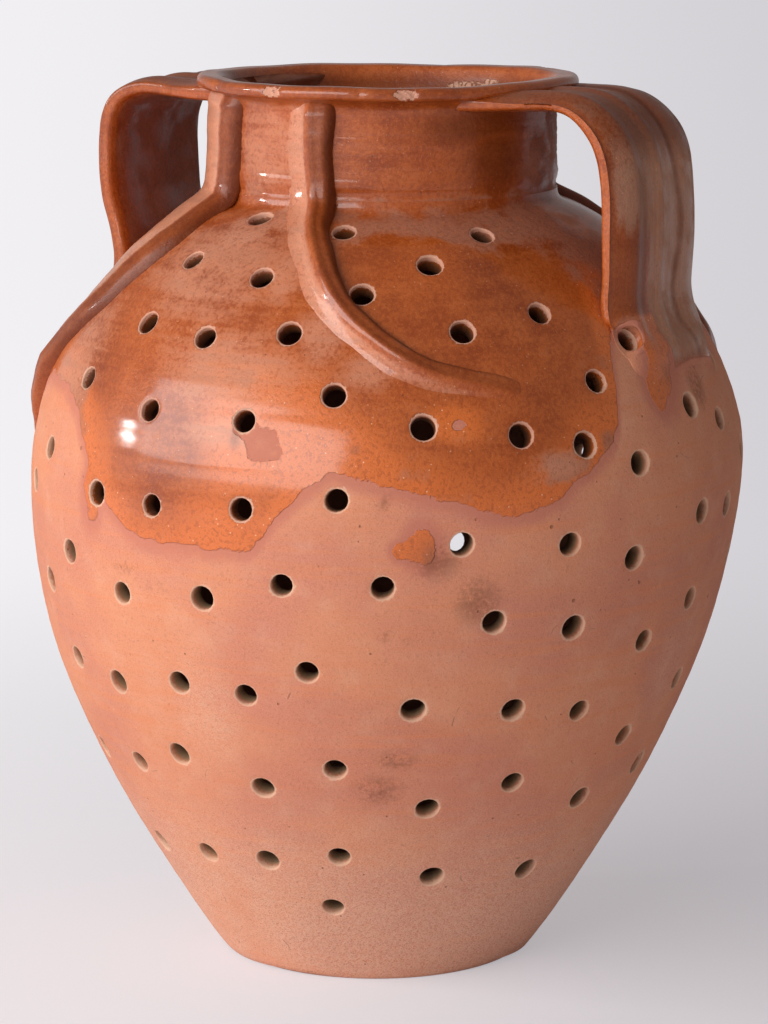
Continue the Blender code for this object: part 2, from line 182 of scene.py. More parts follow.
# The rings' rule goes on round the far side: share of the height, count, first bearing, sway
RINGS = (
    (0.980, 12, -14, 0.2),
    (0.932, 18, -14, 0.1),
    (0.868, 23, 8, 0.4),
    (0.757, 24, 16, 1.0),
    (0.641, 23, 5, 1.0),
    (0.533, 24, 10, 1.0),
    (0.404, 25, 0, 1.0),
    (0.291, 22, 5, 1.0),
    (0.169, 18, 9, 1.0),
)
SWAY = ((1, 0.0094, 90), (2, 0.0050, 0), (6, 0.0067, 13), (7, 0.0042, 192))
DRIFT = ((1, 6.9, 3), (3, 2.4, 216))
HOLE_RADIUS = 4.6 * MM
LIP = 0.65 * MM


def waves(parts, bearing):
    """Sum of cosines round the pot, each with its count, size and start in degrees."""
    return sum(size * math.cos(math.radians(count * bearing + start)) for count, size, start in parts)


def far_holes():
    """Bearing and height of the holes round the far side, by the rings' rule."""
    for share, count, first, swayed in RINGS:
        for number in range(count):
            spaced = first + number * 360 / count
            bearing = spaced + waves(DRIFT, spaced)
            if 81 < bearing % 360 < 278:
                yield bearing, BODY_HEIGHT * share + swayed * waves(SWAY, bearing)


def clear_of(places, spot, distance):
    """Whether a spot on the wall is further than the distance from each of the others."""
    return all(np.linalg.norm(spot - other) > distance for other in places)


def place_on_wall(bearing, height):
    """Bearing, distance up the wall and centre of a hole given in degrees from the facing side."""
    turn, along = FACING + math.radians(bearing), along_at(height)
    return turn, along, wall(np.array(turn), along)


def seen_through(spot):
    """Where a look through a hole at this spot meets the far wall from inside."""
    look = (spot - EYE) / np.linalg.norm(spot - EYE)
    path = spot + np.linspace(0.015, 0.32, 900)[:, None] * look
    reach = np.hypot(*leaned(path, -1)[:, :2].T)
    inside = reach < np.interp(path[:, 2], WALL_LINE[:, 2], WALL_LINE[:, 1]) - WALL / 2
    return path[inside][-1] if inside.any() else spot


IN_LINE = (11.6, 189.6)  # the shown hole that light comes through, from one behind it
FOOT_LOW, FOOT_HIGH, FOOT_HALF = 246 * MM, 283 * MM, 40 * MM  # where the handles' feet lie
HOLES_APART, STRIP_APART, SIGHT_APART = 14 * MM, 9 * MM, 11 * MM


def hole_list(kept_off):
    """All holes, shown ones first. A far hole is left out where a strip or a handle's foot lies
    or another hole is near, and moved aside where it would be seen through one in front: only
    one pair lies in line, as in the photograph."""
    shown = [place for ring in SHOWN_HOLES for place in ring]
    holes = [place_on_wall(bearing, height * MM) for bearing, height in shown]
    looks = [seen_through(spot) for _, _, spot in holes]
    in_line = looks.pop(shown.index(IN_LINE))
    far = [(math.degrees(math.atan2(in_line[1], in_line[0]) - FACING), in_line[2])] + list(far_holes())
    for bearing, height in far:
        spot = place_on_wall(bearing, height)[2]
        for look in looks:
            off = spot - look
            if np.linalg.norm(off) < SIGHT_APART:
                spot = look + off * (SIGHT_APART / np.linalg.norm(off))
        at_foot = FOOT_LOW < spot[2] < FOOT_HIGH and abs(spot[1]) < FOOT_HALF
        apart = clear_of([hole[2] for hole in holes], spot, HOLES_APART)
        hidden = clear_of(looks, spot, SIGHT_APART - 1 * MM)
        if apart and hidden and clear_of(kept_off, spot, STRIP_APART) and not at_foot:
            bearing = math.degrees(math.atan2(*leaned(spot, -1)[1::-1]) - FACING)
            holes.append(place_on_wall(bearing, spot[2]))
    return holes


def strip_line(root, sweep, swing):
    """Bearing and distance up the wall along a strip, as the CAD lays it: straight down the
    neck, then round over the shoulder while it falls by a quarter sine."""
    share = np.linspace(0, 1, 90) ** 1.5
    fall = 62 * MM * np.sin(math.pi / 2 * share**swing)
    height = np.r_[np.linspace(RIM_UNDER, BODY_HEIGHT, 24)[:-1], BODY_HEIGHT - fall]
    bearing = np.radians(root + sweep * np.r_[np.zeros(23), share])
    return bearing, along_at(height)


BACK_STRIPS = {"strip_back_right": (57, -38, 1.00), "strip_back_left": (97, 45, 0.70)}
kept_off = np.concatenate([wall(*strip_line(*shape)) for shape in BACK_STRIPS.values()])
holes = hole_list(kept_off)


def square_to_round(across, up, radius, spread):
    """Draws square rings of grid points round: the ring at the block's edge, numbered 1, goes to
    the circle, each point at an angle in step with its place along that edge, and rings further
    out stay more and more where they are, wholly from 2.4 on. Returns offsets and that share."""
    ring = np.maximum(np.abs(across), np.abs(up))
    ring = np.where(ring == 0, 1, ring)
    beside = np.abs(across) >= np.abs(up)
    with np.errstate(divide="ignore", invalid="ignore"):
        side = math.pi / 4 * up / across + np.where(across < 0, math.pi, 0)
        end = math.pi / 2 * np.sign(up) - math.pi / 4 * across / up
    angle = np.where(beside, side, end)
    reach = radius + (ring - 1) * spread
    share = held((ring - 1) / 1.4)
    return reach * np.cos(angle), reach * np.sin(angle), share * share * (3 - 2 * share)


def loop_round(half_rows, half_columns):
    """Steps to the right and up within a block of grid cells, and the steps from its middle to
    the grid points round its edge, once round."""
    right, above = np.arange(-half_columns, half_columns), np.arange(-half_rows, half_rows)
    wide, tall = np.full(2 * half_columns, half_rows), np.full(2 * half_rows, half_columns)
    return right, above, np.r_[-wide, above, wide, -above], np.r_[right, tall, -right, -tall]


def pierced(bearing, length, chosen):
    """Grid of bearings and distances with a block of cells taken out round each hole. Returns
    which cells stay, and each hole with the loop of grid points round it."""
    rows, columns = length.shape
    step = 2 * math.pi / columns
    stays = np.ones((rows - 1, columns), bool)
    loops = []
    for turn, height, _ in chosen:
        radius = np.interp(height, WALL_LINE[:, 0], WALL_LINE[:, 1])
        opening = HOLE_RADIUS * (0.97 + 0.06 * math.sin(turn * 97)) + LIP
        j = round(turn / step)
        rise = (length[-1, j % columns] - length[0, j % columns]) / (rows - 1)
        half_columns = max(2, round(0.92 * opening / (radius * step)))
        half_rows = max(2, round(0.92 * opening / rise))
        i = round((height - length[0, j % columns]) / rise)
        i = min(max(i, half_rows + 1), rows - 2 - half_rows)
        grid_i = np.arange(max(i - 3 * half_rows, 1), min(i + 3 * half_rows + 1, rows - 1))[:, None]
        grid_j = np.arange(j - 3 * half_columns, j + 3 * half_columns + 1)[None, :]
        spread = (half_columns * radius * step + half_rows * rise) / 2
        across, up = (grid_j - j) / half_columns, (grid_i - i) / half_rows
        x, y, stay = square_to_round(across, up, opening, spread)
        spot = (grid_i, grid_j % columns)
        bearing[spot] += (1 - stay) * (x / radius - turned_to(bearing[spot], turn))
        length[spot] += (1 - stay) * (height + y - length[spot])
        right, above, loop_i, loop_j = loop_round(half_rows, half_columns)
        stays[(i + above)[:, None], (j + right)[None, :] % columns] = False
        loops.append((turn, height, i + loop_i, (j + loop_j) % columns))
    return stays, loops


def quads(rows, keep=None):
    """Faces between rows of point numbers that close round the pot, seen from outside."""
    beside = np.roll(rows, -1, axis=1)
    faces = np.stack([rows[:-1], beside[:-1], beside[1:], rows[1:]], axis=-1)
    return (faces if keep is None else faces[keep]).reshape(-1, 4)


def make_mesh(name, points, faces, marks=None, sharp=None):
    """An object at the origin from an array of points and arrays of faces, smooth-shaded,
    with one named number per point for each of the marks."""
    mesh = bpy.data.meshes.new(name)
    loops = [np.asarray(block).reshape(-1) for block in faces]
    sizes = np.concatenate([np.full(len(block), block.shape[1]) for block in faces])
    mesh.vertices.add(len(points))
    mesh.vertices.foreach_set("co", points.astype(np.float32).reshape(-1))
    mesh.loops.add(int(sizes.sum()))
    mesh.loops.foreach_set("vertex_index", np.concatenate(loops).astype(np.int32))
    mesh.polygons.add(len(sizes))
    mesh.polygons.foreach_set("loop_start", np.r_[0, np.cumsum(sizes)[:-1]].astype(np.int32))
    mesh.update(calc_edges=True)
    mesh.validate()
    mesh.shade_smooth()
    for label, values in (marks or {}).items():
        attribute = mesh.attributes.new(label, "FLOAT", "POINT")
        attribute.data.foreach_set("value", values.astype(np.float32))
    if sharp is not None:
        ends = np.empty(2 * len(mesh.edges), np.int32)
        mesh.edges.foreach_get("vertices", ends)
        edges = np.isin(ends.reshape(-1, 2), sharp).all(axis=1)
        attribute = mesh.attributes.new("sharp_edge", "BOOLEAN", "EDGE")
        attribute.data.foreach_set("value", edges)
    piece = bpy.data.objects.new(name, mesh)
    bpy.context.scene.collection.objects.link(piece)
    return piece


class Signal:
    """A shader socket that can be reckoned with: each operator adds the Math node for it."""

    def __init__(self, tree, socket):
        self.tree, self.socket = tree, socket

    def maths(self, operation, first, second):
        return self.tree.node("Math", {"operation": operation}, {0: first, 1: second})

    def __add__(self, other):
        return self.maths("ADD", self, other)

    def __sub__(self, other):
        return self.maths("SUBTRACT", self, other)

    def __mul__(self, other):
        return self.maths("MULTIPLY", self, other)

    def __rsub__(self, other):
        return self.maths("SUBTRACT", other, self)

    def __truediv__(self, other):
        return self.maths("DIVIDE", self, other)

    __radd__, __rmul__ = __add__, __mul__

    def most(self, other):
        return self.maths("MAXIMUM", self, other)

    def size(self):
        return self.maths("ABSOLUTE", self, 0)

    def over(self, low, high):
        """0 below low, 1 above high and an eased rise between."""
        settings = {"interpolation_type": "SMOOTHSTEP"}
        return self.tree.node("MapRange", settings, {0: self, 1: low, 2: high})


class Tree:
    """Shader nodes of a material or of the room, made and joined by name."""

    def __init__(self, tree):
        self.nodes, self.links = tree.nodes, tree.links

    def node(self, kind, settings=None, sockets=None, output=0):
        made = self.nodes.new("ShaderNode" + kind)
        for name, value in (settings or {}).items():
            setattr(made, name, value)
        for name, value in (sockets or {}).items():
            self.feed(made.inputs[name], value)
        return Signal(self, made.outputs[output])

    def feed(self, socket, value):
        if isinstance(value, Signal):
            self.links.new(value.socket, socket)
        else:
            socket.default_value = value

    def mix(self, share, first, second):
        return self.node("Mix", {"data_type": "RGBA"}, {0: share, 6: first, 7: second}, output=2)

    def coats(self, colour, *laid):
        """A first colour with others laid over it one by one, each by its share."""
        for share, coat in laid:
            colour = self.mix(share, colour, coat)
        return colour


class Paint(Tree):
    """A material in the making, laid out on the pot's own coordinates in metres."""

    def __init__(self, name):
        self.material = bpy.data.materials.new(name)
        self.material.use_nodes = True
        super().__init__(self.material.node_tree)
        self.shader = self.nodes["Principled BSDF"]
        self.place = self.node("TexCoord", output=3)

    def mark(self, name):
        return self.node("Attribute", {"attribute_name": name}, output=2)

    def stretched(self, x, y, z):
        return self.node("VectorMath", {"operation": "MULTIPLY"}, {0: self.place, 1: (x, y, z)})

    def noise(self, size, detail=3, place=None, rough=0.5):
        """Noise from 0 to 1 with features about size mm wide."""
        sockets = {"Vector": self.place, "Scale": 1000 / size, "Detail": detail, "Roughness": rough}
        if place is not None:
            sockets.update({"Vector": place, "Scale": 1})
        return self.node("TexNoise", None, sockets)

    def specks(self, spacing, radius, share):
        """Dots of a radius in mm round scattered points that lie spacing apart, at only a share
        of the points: 1 in a dot."""
        away = self.node("TexVoronoi", None, {"Vector": self.place, "Scale": 1000 / spacing})
        chance = Signal(self, away.socket.node.outputs["Color"])
        chosen = self.node("SeparateColor", None, {0: chance}).over(1 - share, 1 - share + 0.01)
        return (1 - away.over(0.6 * radius / spacing, 1.2 * radius / spacing)) * chosen

    def raised(self, height):
        """A bump from a height in mm."""
        bumped = self.node("Bump", None, {"Distance": MM, "Height": height})
        self.feed(self.shader.inputs["Normal"], bumped)


def tone(red, green, blue):
    """A linear colour from the strengths, out of 255, that a camera writes for it."""
    code = np.array([red, green, blue]) / 255
    return (*np.where(code <= 0.04045, code / 12.92, ((code + 0.055) / 1.055) ** 2.4), 1.0)


CLAY, PINK_CLAY, ORANGE_CLAY = tone(216, 142, 108), tone(206, 132, 106), tone(218, 134, 92)
PALE_CLAY, DARK_CLAY, HALO = tone(228, 184, 158), tone(130, 76, 54), tone(192, 116, 96)
# HOLLOW_SHADE is painted shade: deep in the holes and over the inside of the wall it stands for the light
# that does not reach there
LIP_CLAY, HOLLOW_SHADE = tone(220, 178, 150), tone(46, 30, 20)
CLAY_DUST, GLAZE_DUST = tone(134, 114, 84), tone(98, 62, 40)
AMBER, DEEP_AMBER = tone(172, 79, 22), tone(138, 57, 14)
LIGHT_AMBER, BRIGHT_AMBER = tone(192, 99, 42), tone(224, 114, 46)
# DEEP_BROWN is the colour of painted shade, and in places also of the deep amber where the glaze lies thick
DEEP_BROWN, ROSE_FILM, ASH_FILM = tone(88, 34, 8), tone(222, 154, 122), tone(184, 138, 112)
MAUVE, BLACK_SPECK, CRYSTAL = tone(164, 108, 86), tone(60, 34, 24), tone(240, 196, 160)


def fired(name, drawn=(16, 16, 330), film=ROSE_FILM):
    """Bare clay and amber glaze in one finish. The glaze covers what lies above its edge, which
    noise makes ragged; it is bright where it runs thin, and a mauve halo stains the clay below.
    The clay is pink to orange, streaked by throwing, pitted, and bloomed pale near the foot.
    Drawn is how often the streaks change in a metre along x, y and z, and film is the colour of
    the pale crust that lies on some of the glaze."""
    paint = Paint(name)
    cloud, mottle, grain = paint.noise(48, 3), paint.noise(11, 4), paint.noise(1.5, 3, rough=0.6)
    streak, speckle = paint.noise(1, 3, paint.stretched(*drawn)), paint.noise(0.6, 2, rough=0.7)
    worn, dull, depth = paint.mark("worn"), paint.mark("dull"), paint.mark("depth")
    edge = paint.mark("above_edge") + (mottle - 0.5) * 9 + (grain - 0.5) * 2.5
    bare_lip = (worn + (grain - 0.5) * 0.9 + (mottle - 0.5) * 0.6).over(0.55, 0.7)
    glazed = edge.over(-0.35, 0.35) * (1 - bare_lip)
    halo = edge.over(-8, -1.5)
    pits = paint.specks(7, 0.45, 0.35).most(paint.specks(15, 0.8, 0.25))
    flecks = paint.specks(4.2, 0.35, 0.3)
    hairline = paint.noise(34, 1, rough=0.7)
    scratched = (1 - (hairline - 0.5).size().over(0.001, 0.004)) * mottle.over(0.60, 0.66)
    up = paint.node("SeparateXYZ", None, {0: paint.place}, output=2)
    low = 1 - up.over(0.015, 0.10)
    washed = (low * cloud.over(0.30, 0.5)).most(paint.mark("washed") * 0.5)
    bloom = washed * (grain * 0.45 + speckle * 0.55).over(0.36, 0.64)
    clay = paint.coats(
        CLAY,
        (cloud.over(0.38, 0.62), PINK_CLAY),
        (streak.over(0.45, 0.75) * 0.6, ORANGE_CLAY),
        (mottle.over(0.45, 0.75) * 0.16, PALE_CLAY),
        (low * 0.25, PALE_CLAY),
        (bloom * 0.75, PALE_CLAY),
        (pits.most(scratched) * 0.6, DARK_CLAY),
        (grain.over(0.55, 0.75) * 0.22, DARK_CLAY),
        (flecks * 0.35, PALE_CLAY),
        (speckle.over(0.52, 0.68) * (0.12 + low * 0.4), PALE_CLAY),
        ((1 - speckle.over(0.30, 0.48)) * (0.22 + low * 0.22), DARK_CLAY),
        (halo * 0.8, HALO),
    )

    thin = 1 - (edge + (cloud - 0.5) * 40).over(4, 26)
    patches = dull * 1.1 + (mottle - 0.5) * 2.4 + (cloud - 0.5) * 1.6 + (grain - 0.5) * 0.6
    patchy = patches.over(0.35, 1.05)
    film_noise = (mottle - 0.5) * 1.1 + (streak - 0.5) * 1.2 + (grain - 0.5) * 0.9
    filmed = (paint.mark("filmed") * 0.95 + film_noise * 0.6).over(0.10, 1.0) * 0.9
    glaze = paint.coats(
        AMBER,
        (cloud.over(0.35, 0.65), DEEP_AMBER),
        ((streak * 0.6 + mottle).over(0.62, 1.0) * 0.5, LIGHT_AMBER),
        (thin * 0.8, BRIGHT_AMBER),
        (patchy * 0.85, MAUVE),
        (speckle.over(0.54, 0.70) * 0.30, BRIGHT_AMBER),
        ((1 - speckle.over(0.32, 0.46)) * 0.35, DEEP_AMBER),
        (filmed, paint.mix((streak * 0.7 + mottle * 0.5).over(0.5, 0.75) * 0.55, film, MAUVE)),
        (grain.over(0.48, 0.66) * 0.35, LIGHT_AMBER),
        ((1 - grain.over(0.36, 0.5)) * (0.38 - filmed * 0.3), DEEP_AMBER),
        (paint.specks(5, 0.32, 0.4) * 0.75, BLACK_SPECK),
        (paint.specks(2.6, 0.3, 0.35) * (0.25 + thin * 0.45), CRYSTAL),
    )

    # Painted shade: the shaded mark lays DEEP_BROWN in the mouth, in creases and grooves, on the handles'
    # inner faces and front edges and on the neck's right side, in places also standing for deep amber where
    # the glaze is thick; depth lays HOLLOW_SHADE deep in the holes and over the inside of the wall, and the
    # coat is taken away in both
    shaded = paint.mark("shaded")
    dust = paint.mix(edge.over(-20, 0), CLAY_DUST, GLAZE_DUST)
    colour = paint.coats(
        clay,
        (glazed, glaze),
        (shaded * 0.72, DEEP_BROWN),
        (paint.mark("smudged") * (mottle * 0.6 + grain * 0.4).over(0.38, 0.58) * 0.6, DARK_CLAY),
        (bare_lip * (edge.over(30, 0) * 0.25 + mottle * 0.5 + 0.2), LIP_CLAY),
        (depth.over(0.1, 0.5) * worn.over(0.2, 0.34) * 0.85, dust),
        (depth.over(0.4, 0.95) * 0.6, HOLLOW_SHADE),
    )
    paint.feed(paint.shader.inputs["Base Color"], colour)
    sheen = 0.42 + (cloud - 0.5) * 0.25 + (grain - 0.5) * 0.12 + patchy.most(filmed) * 0.25
    paint.feed(paint.shader.inputs["Roughness"], sheen * glazed + (1 - glazed) * 0.86)
    coat = glazed * (1 - patchy) * (1 - depth) * (1 - shaded * 0.9) * 0.65
    paint.feed(paint.shader.inputs["Coat Weight"], coat)
    paint.shader.inputs["Coat Roughness"].default_value = 0.13
    paint.shader.inputs["Specular IOR Level"].default_value = 0.3
    rough = grain * 0.16 + paint.noise(0.6, 2) * 0.10 + streak * 0.10 - pits * 0.35
    smooth = paint.noise(3.5, 2) * 0.15 + mottle * 0.12 + grain * 0.19
    smooth = smooth + speckle * 0.12 + streak * 0.05 + 0.2
    paint.raised(rough * (1 - glazed) + smooth * glazed + flecks * 0.05)
    return paint.material


# The glaze's lower edge in front: bearing from the facing side, height in mm
GLAZE_EDGE = (
    (-95, 236), (-80, 238), (-66, 236), (-59.4, 228), (-55, 216), (-51.8, 207), (-49, 201), (-46.5, 195),
    (-42, 188), (-37.9, 186), (-28.6, 185), (-20.3, 187), (-18, 192), (-16, 200), (-14.2, 204),
    (-8.4, 217), (-3.2, 214), (1.9, 210), (10.8, 206), (15, 201), (19.2, 199), (24, 201), (29, 209),
    (33.9, 217), (36.5, 223), (38.5, 230), (40, 243), (42, 255), (44, 262), (50, 267), (58, 265),
    (64, 262), (70, 268), (80, 262), (95, 250),
)


def glaze_edge(bearing):
    """Height of the glaze's lower edge round the pot: where the photograph shows it in front,
    and slow dips and runs behind."""
    seen = np.degrees(turned_to(bearing, FACING))
    behind = 222 + 14 * np.sin(2.3 * bearing + 1) + 7 * np.sin(7 * bearing)
    behind = behind + 4 * np.sin(13 * bearing + 1)
    front = np.interp(seen, *np.array(GLAZE_EDGE).T)
    share = held((np.abs(seen) - 78) / 14)
    return ((1 - share) * front + share * behind) * MM


# Places on the wall: bearing from the facing side, height, half width, half height in mm
RUNS = (
    (52.6, 257, 7, 13), (51.2, 247, 6, 11), (49.2, 239, 4.5, 7), (5.4, 188.8, 5, 6), (2.6, 187.5, 3, 3),
    (-51.5, 203, 5, 12),
)
FLAKES = (
    (-19.8, 225, 7, 6), (-22.0, 229, 6, 4), (-17.5, 222, 4, 3), (11, 232, 3, 2), (-16.2, 132.2, 5, 5),
)
DULL = (
    (-62, 226, 22, 22), (-70, 212, 12, 26), (8, 300, 64, 8), (20, 296, 34, 6), (40, 297, 44, 10),
    (52, 284, 26, 22), (47, 268, 14, 14), (62, 244, 22, 20), (72, 262, 20, 22), (27, 214, 16, 7),
    (36, 221, 10, 10), (40, 250, 14, 8), (-20, 301, 30, 3.5), (-40, 296, 12, 6), (110, 268, 40, 14),
    (150, 240, 30, 12), (200, 285, 26, 12), (250, 250, 40, 16),
)
FILMED = (
    (-68, 240, 30, 48), (-40, 282, 54, 30), (-28, 250, 44, 22), (-28, 300, 16, 12), (-22, 282, 14, 16),
    (-12, 262, 16, 14), (-3, 250, 16, 10), (-25, 228, 30, 10), (60, 296, 16, 12), (27, 216, 18, 9),
    (130, 270, 40, 24), (215, 250, 36, 26),
)
SMUDGES = (
    (-43.7, 173.2, 8, 2.5), (-37.1, 167.6, 7, 2), (8.1, 184, 12, 10), (14.5, 168, 12, 12),
    (-0.2, 204.7, 2.5, 4), (0.7, 155.4, 2, 2.5), (4.1, 153, 3, 1.5), (0.1, 91.6, 12, 8),
    (3.5, 104.6, 10, 5), (-24, 226, 3, 6), (-4.8, 224, 2, 2), (61.4, 236, 8, 10), (150, 120, 22, 14),
    (230, 160, 18, 12), (118, 70, 20, 10),
)
WASHED = (
    (-4.2, 38, 22, 8), (30, 60, 20, 16), (-30, 120, 18, 30), (60, 130, 22, 30), (170, 90, 30, 24),
    (260, 60, 30, 18),
)


def touched(bearing, height, places, girth):
    """How much each point belongs to the oval places: 1 in a middle, 0 at an oval's edge and
    below that outside."""
    seen = turned_to(bearing, FACING)
    inner = np.full(np.shape(height), -9.0)
    for turn, middle, half_width, half_height in places:
        across = turned_to(seen, math.radians(turn)) * girth / MM / half_width
        inner = np.maximum(inner, 1 - np.hypot(across, (height / MM - middle) / half_height))
    return inner


def wall_marks(bearing, points, depth, worn):
    """What clay and glaze need to know at each point: height above the glaze's edge in mm, how
    dull the glaze is, its pale film, smudges, washed-out patches, wear on a lip, and how deep in
    the wall."""
    height, girth = points[:, 2], np.hypot(points[:, 0], points[:, 1])
    run, flake, dull, filmed, smudged, washed = (
        touched(bearing, height, places, girth)
        for places in (RUNS, FLAKES, DULL, FILMED, SMUDGES, WASHED)
    )
    above = np.minimum(np.maximum((height - glaze_edge(bearing)) / MM, run * 6), -flake * 6)
    return {
        "above_edge": np.clip(above, -60, 60),
        "dull": held(dull + 0.25),
        "filmed": held(filmed * 0.9, 0.62),
        "smudged": held(smudged * 1.5),
        "washed": held(washed * 1.5),
        "worn": worn,
        "depth": held(depth / WALL),
    }


OPENING = (HOLE_RADIUS + LIP) / HOLE_RADIUS
LIP_WEAR = 0.62
# Rings of points over a hole's rounded lip and down its wall: size, depth and wear
HOLE_RINGS = [
    (1 + (OPENING - 1) * (1 - math.sin(a)), LIP * (1 - math.cos(a)), wear)
    for a, wear in zip(np.radians((30, 60, 90)), (1.0, 1.0, 0.9))
]
HOLE_RINGS += [
    (1, 0.3 * WALL, 0.45), (1, 0.5 * WALL, 0.35), (1, 0.7 * WALL, 0.35), (1, 0.88 * WALL, 0.35),
    (1.04, 0.97 * WALL, 0.35),
]


def thrown(name, columns, share, ends, first_inside, chosen, under=None, floor=None):
    """A thrown section with its holes. Its outside rows lie at these shares of the way between
    its lower and upper end, and its inside rows come down again from the last to number
    first_inside. Under and floor are radius and height of the rings that close it below, each
    towards the axis; without them it is a ring."""
    even = np.arange(columns) * 2 * math.pi / columns
    low, high = (end(even) for end in ends)
    bearing = np.tile(even, (len(share), 1))
    length = low + share[:, None] * (high - low)
    stays, loops = pierced(bearing, length, chosen)
    parts, faces = [], []

    def placed(points, turns, depth, wear=0.0):
        """Adds points and what the finish needs to know there, and returns their numbers."""
        count = sum(part[1].size for part in parts)
        known = (np.ravel(values + 0 * turns) for values in (turns, depth, wear))
        parts.append([points.reshape(-1, 3), *known])
        return count + np.arange(turns.size).reshape(turns.shape)

    worn = np.zeros(bearing.shape)
    for _, _, ring_i, ring_j in loops:
        worn[ring_i, ring_j] = LIP_WEAR
    inner = slice(len(share) - 1, first_inside - 1 if first_inside else None, -1)
    outside = placed(wall(bearing, length), bearing, 0.0, worn)
    inside = placed(wall(bearing[inner], length[inner], WALL), bearing[inner], WALL)
    rows = [outside, inside]
    for rings, depth, below in ((under, 0.0, True), (floor, WALL, False)):
        if rings is None:
            continue
        reach, height = (column[:, None] for column in np.array(rings).T)
        block = placed(leaned(round_axis(reach, even, height)), even + 0 * reach, depth)
        hub = placed(leaned(np.array([[0, 0, rings[-1][1]]])), np.zeros(1), depth)
        last, after = block[-1], np.roll(block[-1], -1)
        rows = [block[::-1]] + rows if below else rows + [block]
        edge = (after, last) if below else (last, after)
        faces.append(np.stack([hub + 0 * last, *edge], -1))
    chain = np.vstack(rows)
    keep = np.ones((len(chain) - 1, columns), bool)
    start = 0 if under is None else len(under)
    keep[start : start + len(stays)] = stays
    back = start + len(stays) + 1
    keep[back : back + len(inside) - 1] = stays[first_inside:][::-1]
    faces.append(quads(chain, keep))
    sharp = [outside[-1], inside[0]]
    if under is None:
        faces.append(quads(np.vstack([inside[-1], outside[0]])))
        sharp += [outside[0], inside[-1]]
    for turn, height, ring_i, ring_j in loops:
        around, up = turned_to(bearing[ring_i, ring_j], turn), length[ring_i, ring_j] - height
        rings = [outside[ring_i, ring_j]]
        for size, depth, wear in HOLE_RINGS:
            turns = turn + around * (size / OPENING)
            rings.append(placed(wall(turns, height + up * (size / OPENING), depth), turns, depth, wear))
        rings.append(inside[len(share) - 1 - ring_i, ring_j])
        faces.append(quads(np.vstack(rings)))
    points, turns, depths, worn = (np.concatenate(column) for column in zip(*parts))
    marks = wall_marks(turns, points, depths, worn)
    return make_mesh(name, points, faces, marks, np.concatenate(sharp))


def join(turns):
    """Distance up the wall of the belly join: level, but led past the holes that lie on it."""
    height = np.full(np.shape(turns), JOIN_HEIGHT)
    for turn, _, spot in holes:
        off = JOIN_HEIGHT - spot[2]
        push = np.sign(off) * max(0, JOIN_TO_HOLE + 1 * MM - abs(off))
        height = height + push * np.exp(-((turned_to(turns, turn) / math.radians(6.5)) ** 4))
    return along_at(height)


def below_join(hole):
    return hole[1] < join(hole[0])


# Rings under the foot and on the floor inside, each from the wall towards the middle
FOOT_RINGS = (
    (FOOT_RADIUS - 0.2 * MM, 0.9 * MM), (FOOT_RADIUS - 1.2 * MM, 0.1 * MM), (FOOT_RADIUS - 3 * MM, 0),
    (FOOT_RADIUS - 10 * MM, 0), (FOOT_RADIUS - 14 * MM, 0.7 * MM), (30 * MM, 0.9 * MM),
    (10 * MM, 0.9 * MM),
)
FLOOR_RINGS = (
    (66 * MM, 17.5 * MM), (62.5 * MM, 13.5 * MM), (57 * MM, 11 * MM), (50 * MM, 10 * MM),
    (40 * MM, 10.8 * MM), (28 * MM, 9.8 * MM), (14 * MM, 10.6 * MM),
)
FIRST_INSIDE = 9  # the inside starts at this row of the outside, above the floor
lower_body = thrown(
    "lower_body_clay", 360, np.linspace(0, 1, 109), (lambda turns: 2 * MM + 0 * turns, join),
    FIRST_INSIDE, [hole for hole in holes if below_join(hole)], FOOT_RINGS, FLOOR_RINGS)
lower_body.data.materials.append(fired("bare_terracotta_clay"))
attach(lower_body, "root")
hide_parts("lower_body")

# Shoulder: the domed upper section, thrown apart and luted on to the lower one at the belly. It
# carries the amber glaze, which ran down over the belly and stopped in dips and tongues.
crest = along_at(306.5 * MM)
shoulder = thrown(
    "shoulder_clay", 480, np.linspace(0, 1, 80), (join, lambda turns: crest + 0 * turns), 0,
    [hole for hole in holes if not below_join(hole)])
shoulder.data.materials.append(fired("amber_glaze_on_shoulder"))
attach(shoulder, "root")
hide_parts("shoulder")

# Neck: a short collar thrown on the shoulder, with a flat rim that overhangs it like a flange and
# a mouth that flares to the rim's flat top. It is glazed inside and out, and its edge is chipped.

# Radius and height round the rim in mm, from the neck's outside over the top and down the bore
RIM_PROFILE = np.array([
    (66.8, 338.6), (67.1, 340.3), (67.9, 342.1), (69.2, 343.6), (70.8, 344.4), (72.4, 344.7), (73.6, 344.8),
    (74.5, 345.2), (75.1, 346.0), (75.3, 347.0), (75.2, 348.1), (74.8, 349.0), (74.1, 349.6), (73.2, 349.9),
    (72.1, 350.0), (70.6, 349.8), (69.0, 349.7), (67.6, 349.8), (66.6, 349.6), (65.8, 349.0), (65.2, 348.0),
    (64.5, 346.0), (63.4, 343.2), (62.0, 340.3), (60.8, 337.4), (60.1, 334.4), (59.7, 331.0), (59.4, 327.0),
    (59.2, 322.0), (59.2, 316.0), (59.1, 311.0),
]) * MM
# Chips in the rim's front edge: bearing from the facing side, half their width and depth in mm
CHIPS = (
    (-36.5, 3.4, 1.6), (-33.4, 1.4, 0.9), (4.5, 3.6, 1.5), (7.6, 1.5, 1.0), (-61, 3.0, 0.7), (22, 2.6, 0.6),
    (-8, 2.0, 0.5), (118, 4.0, 1.1), (161, 3.0, 0.9),
)


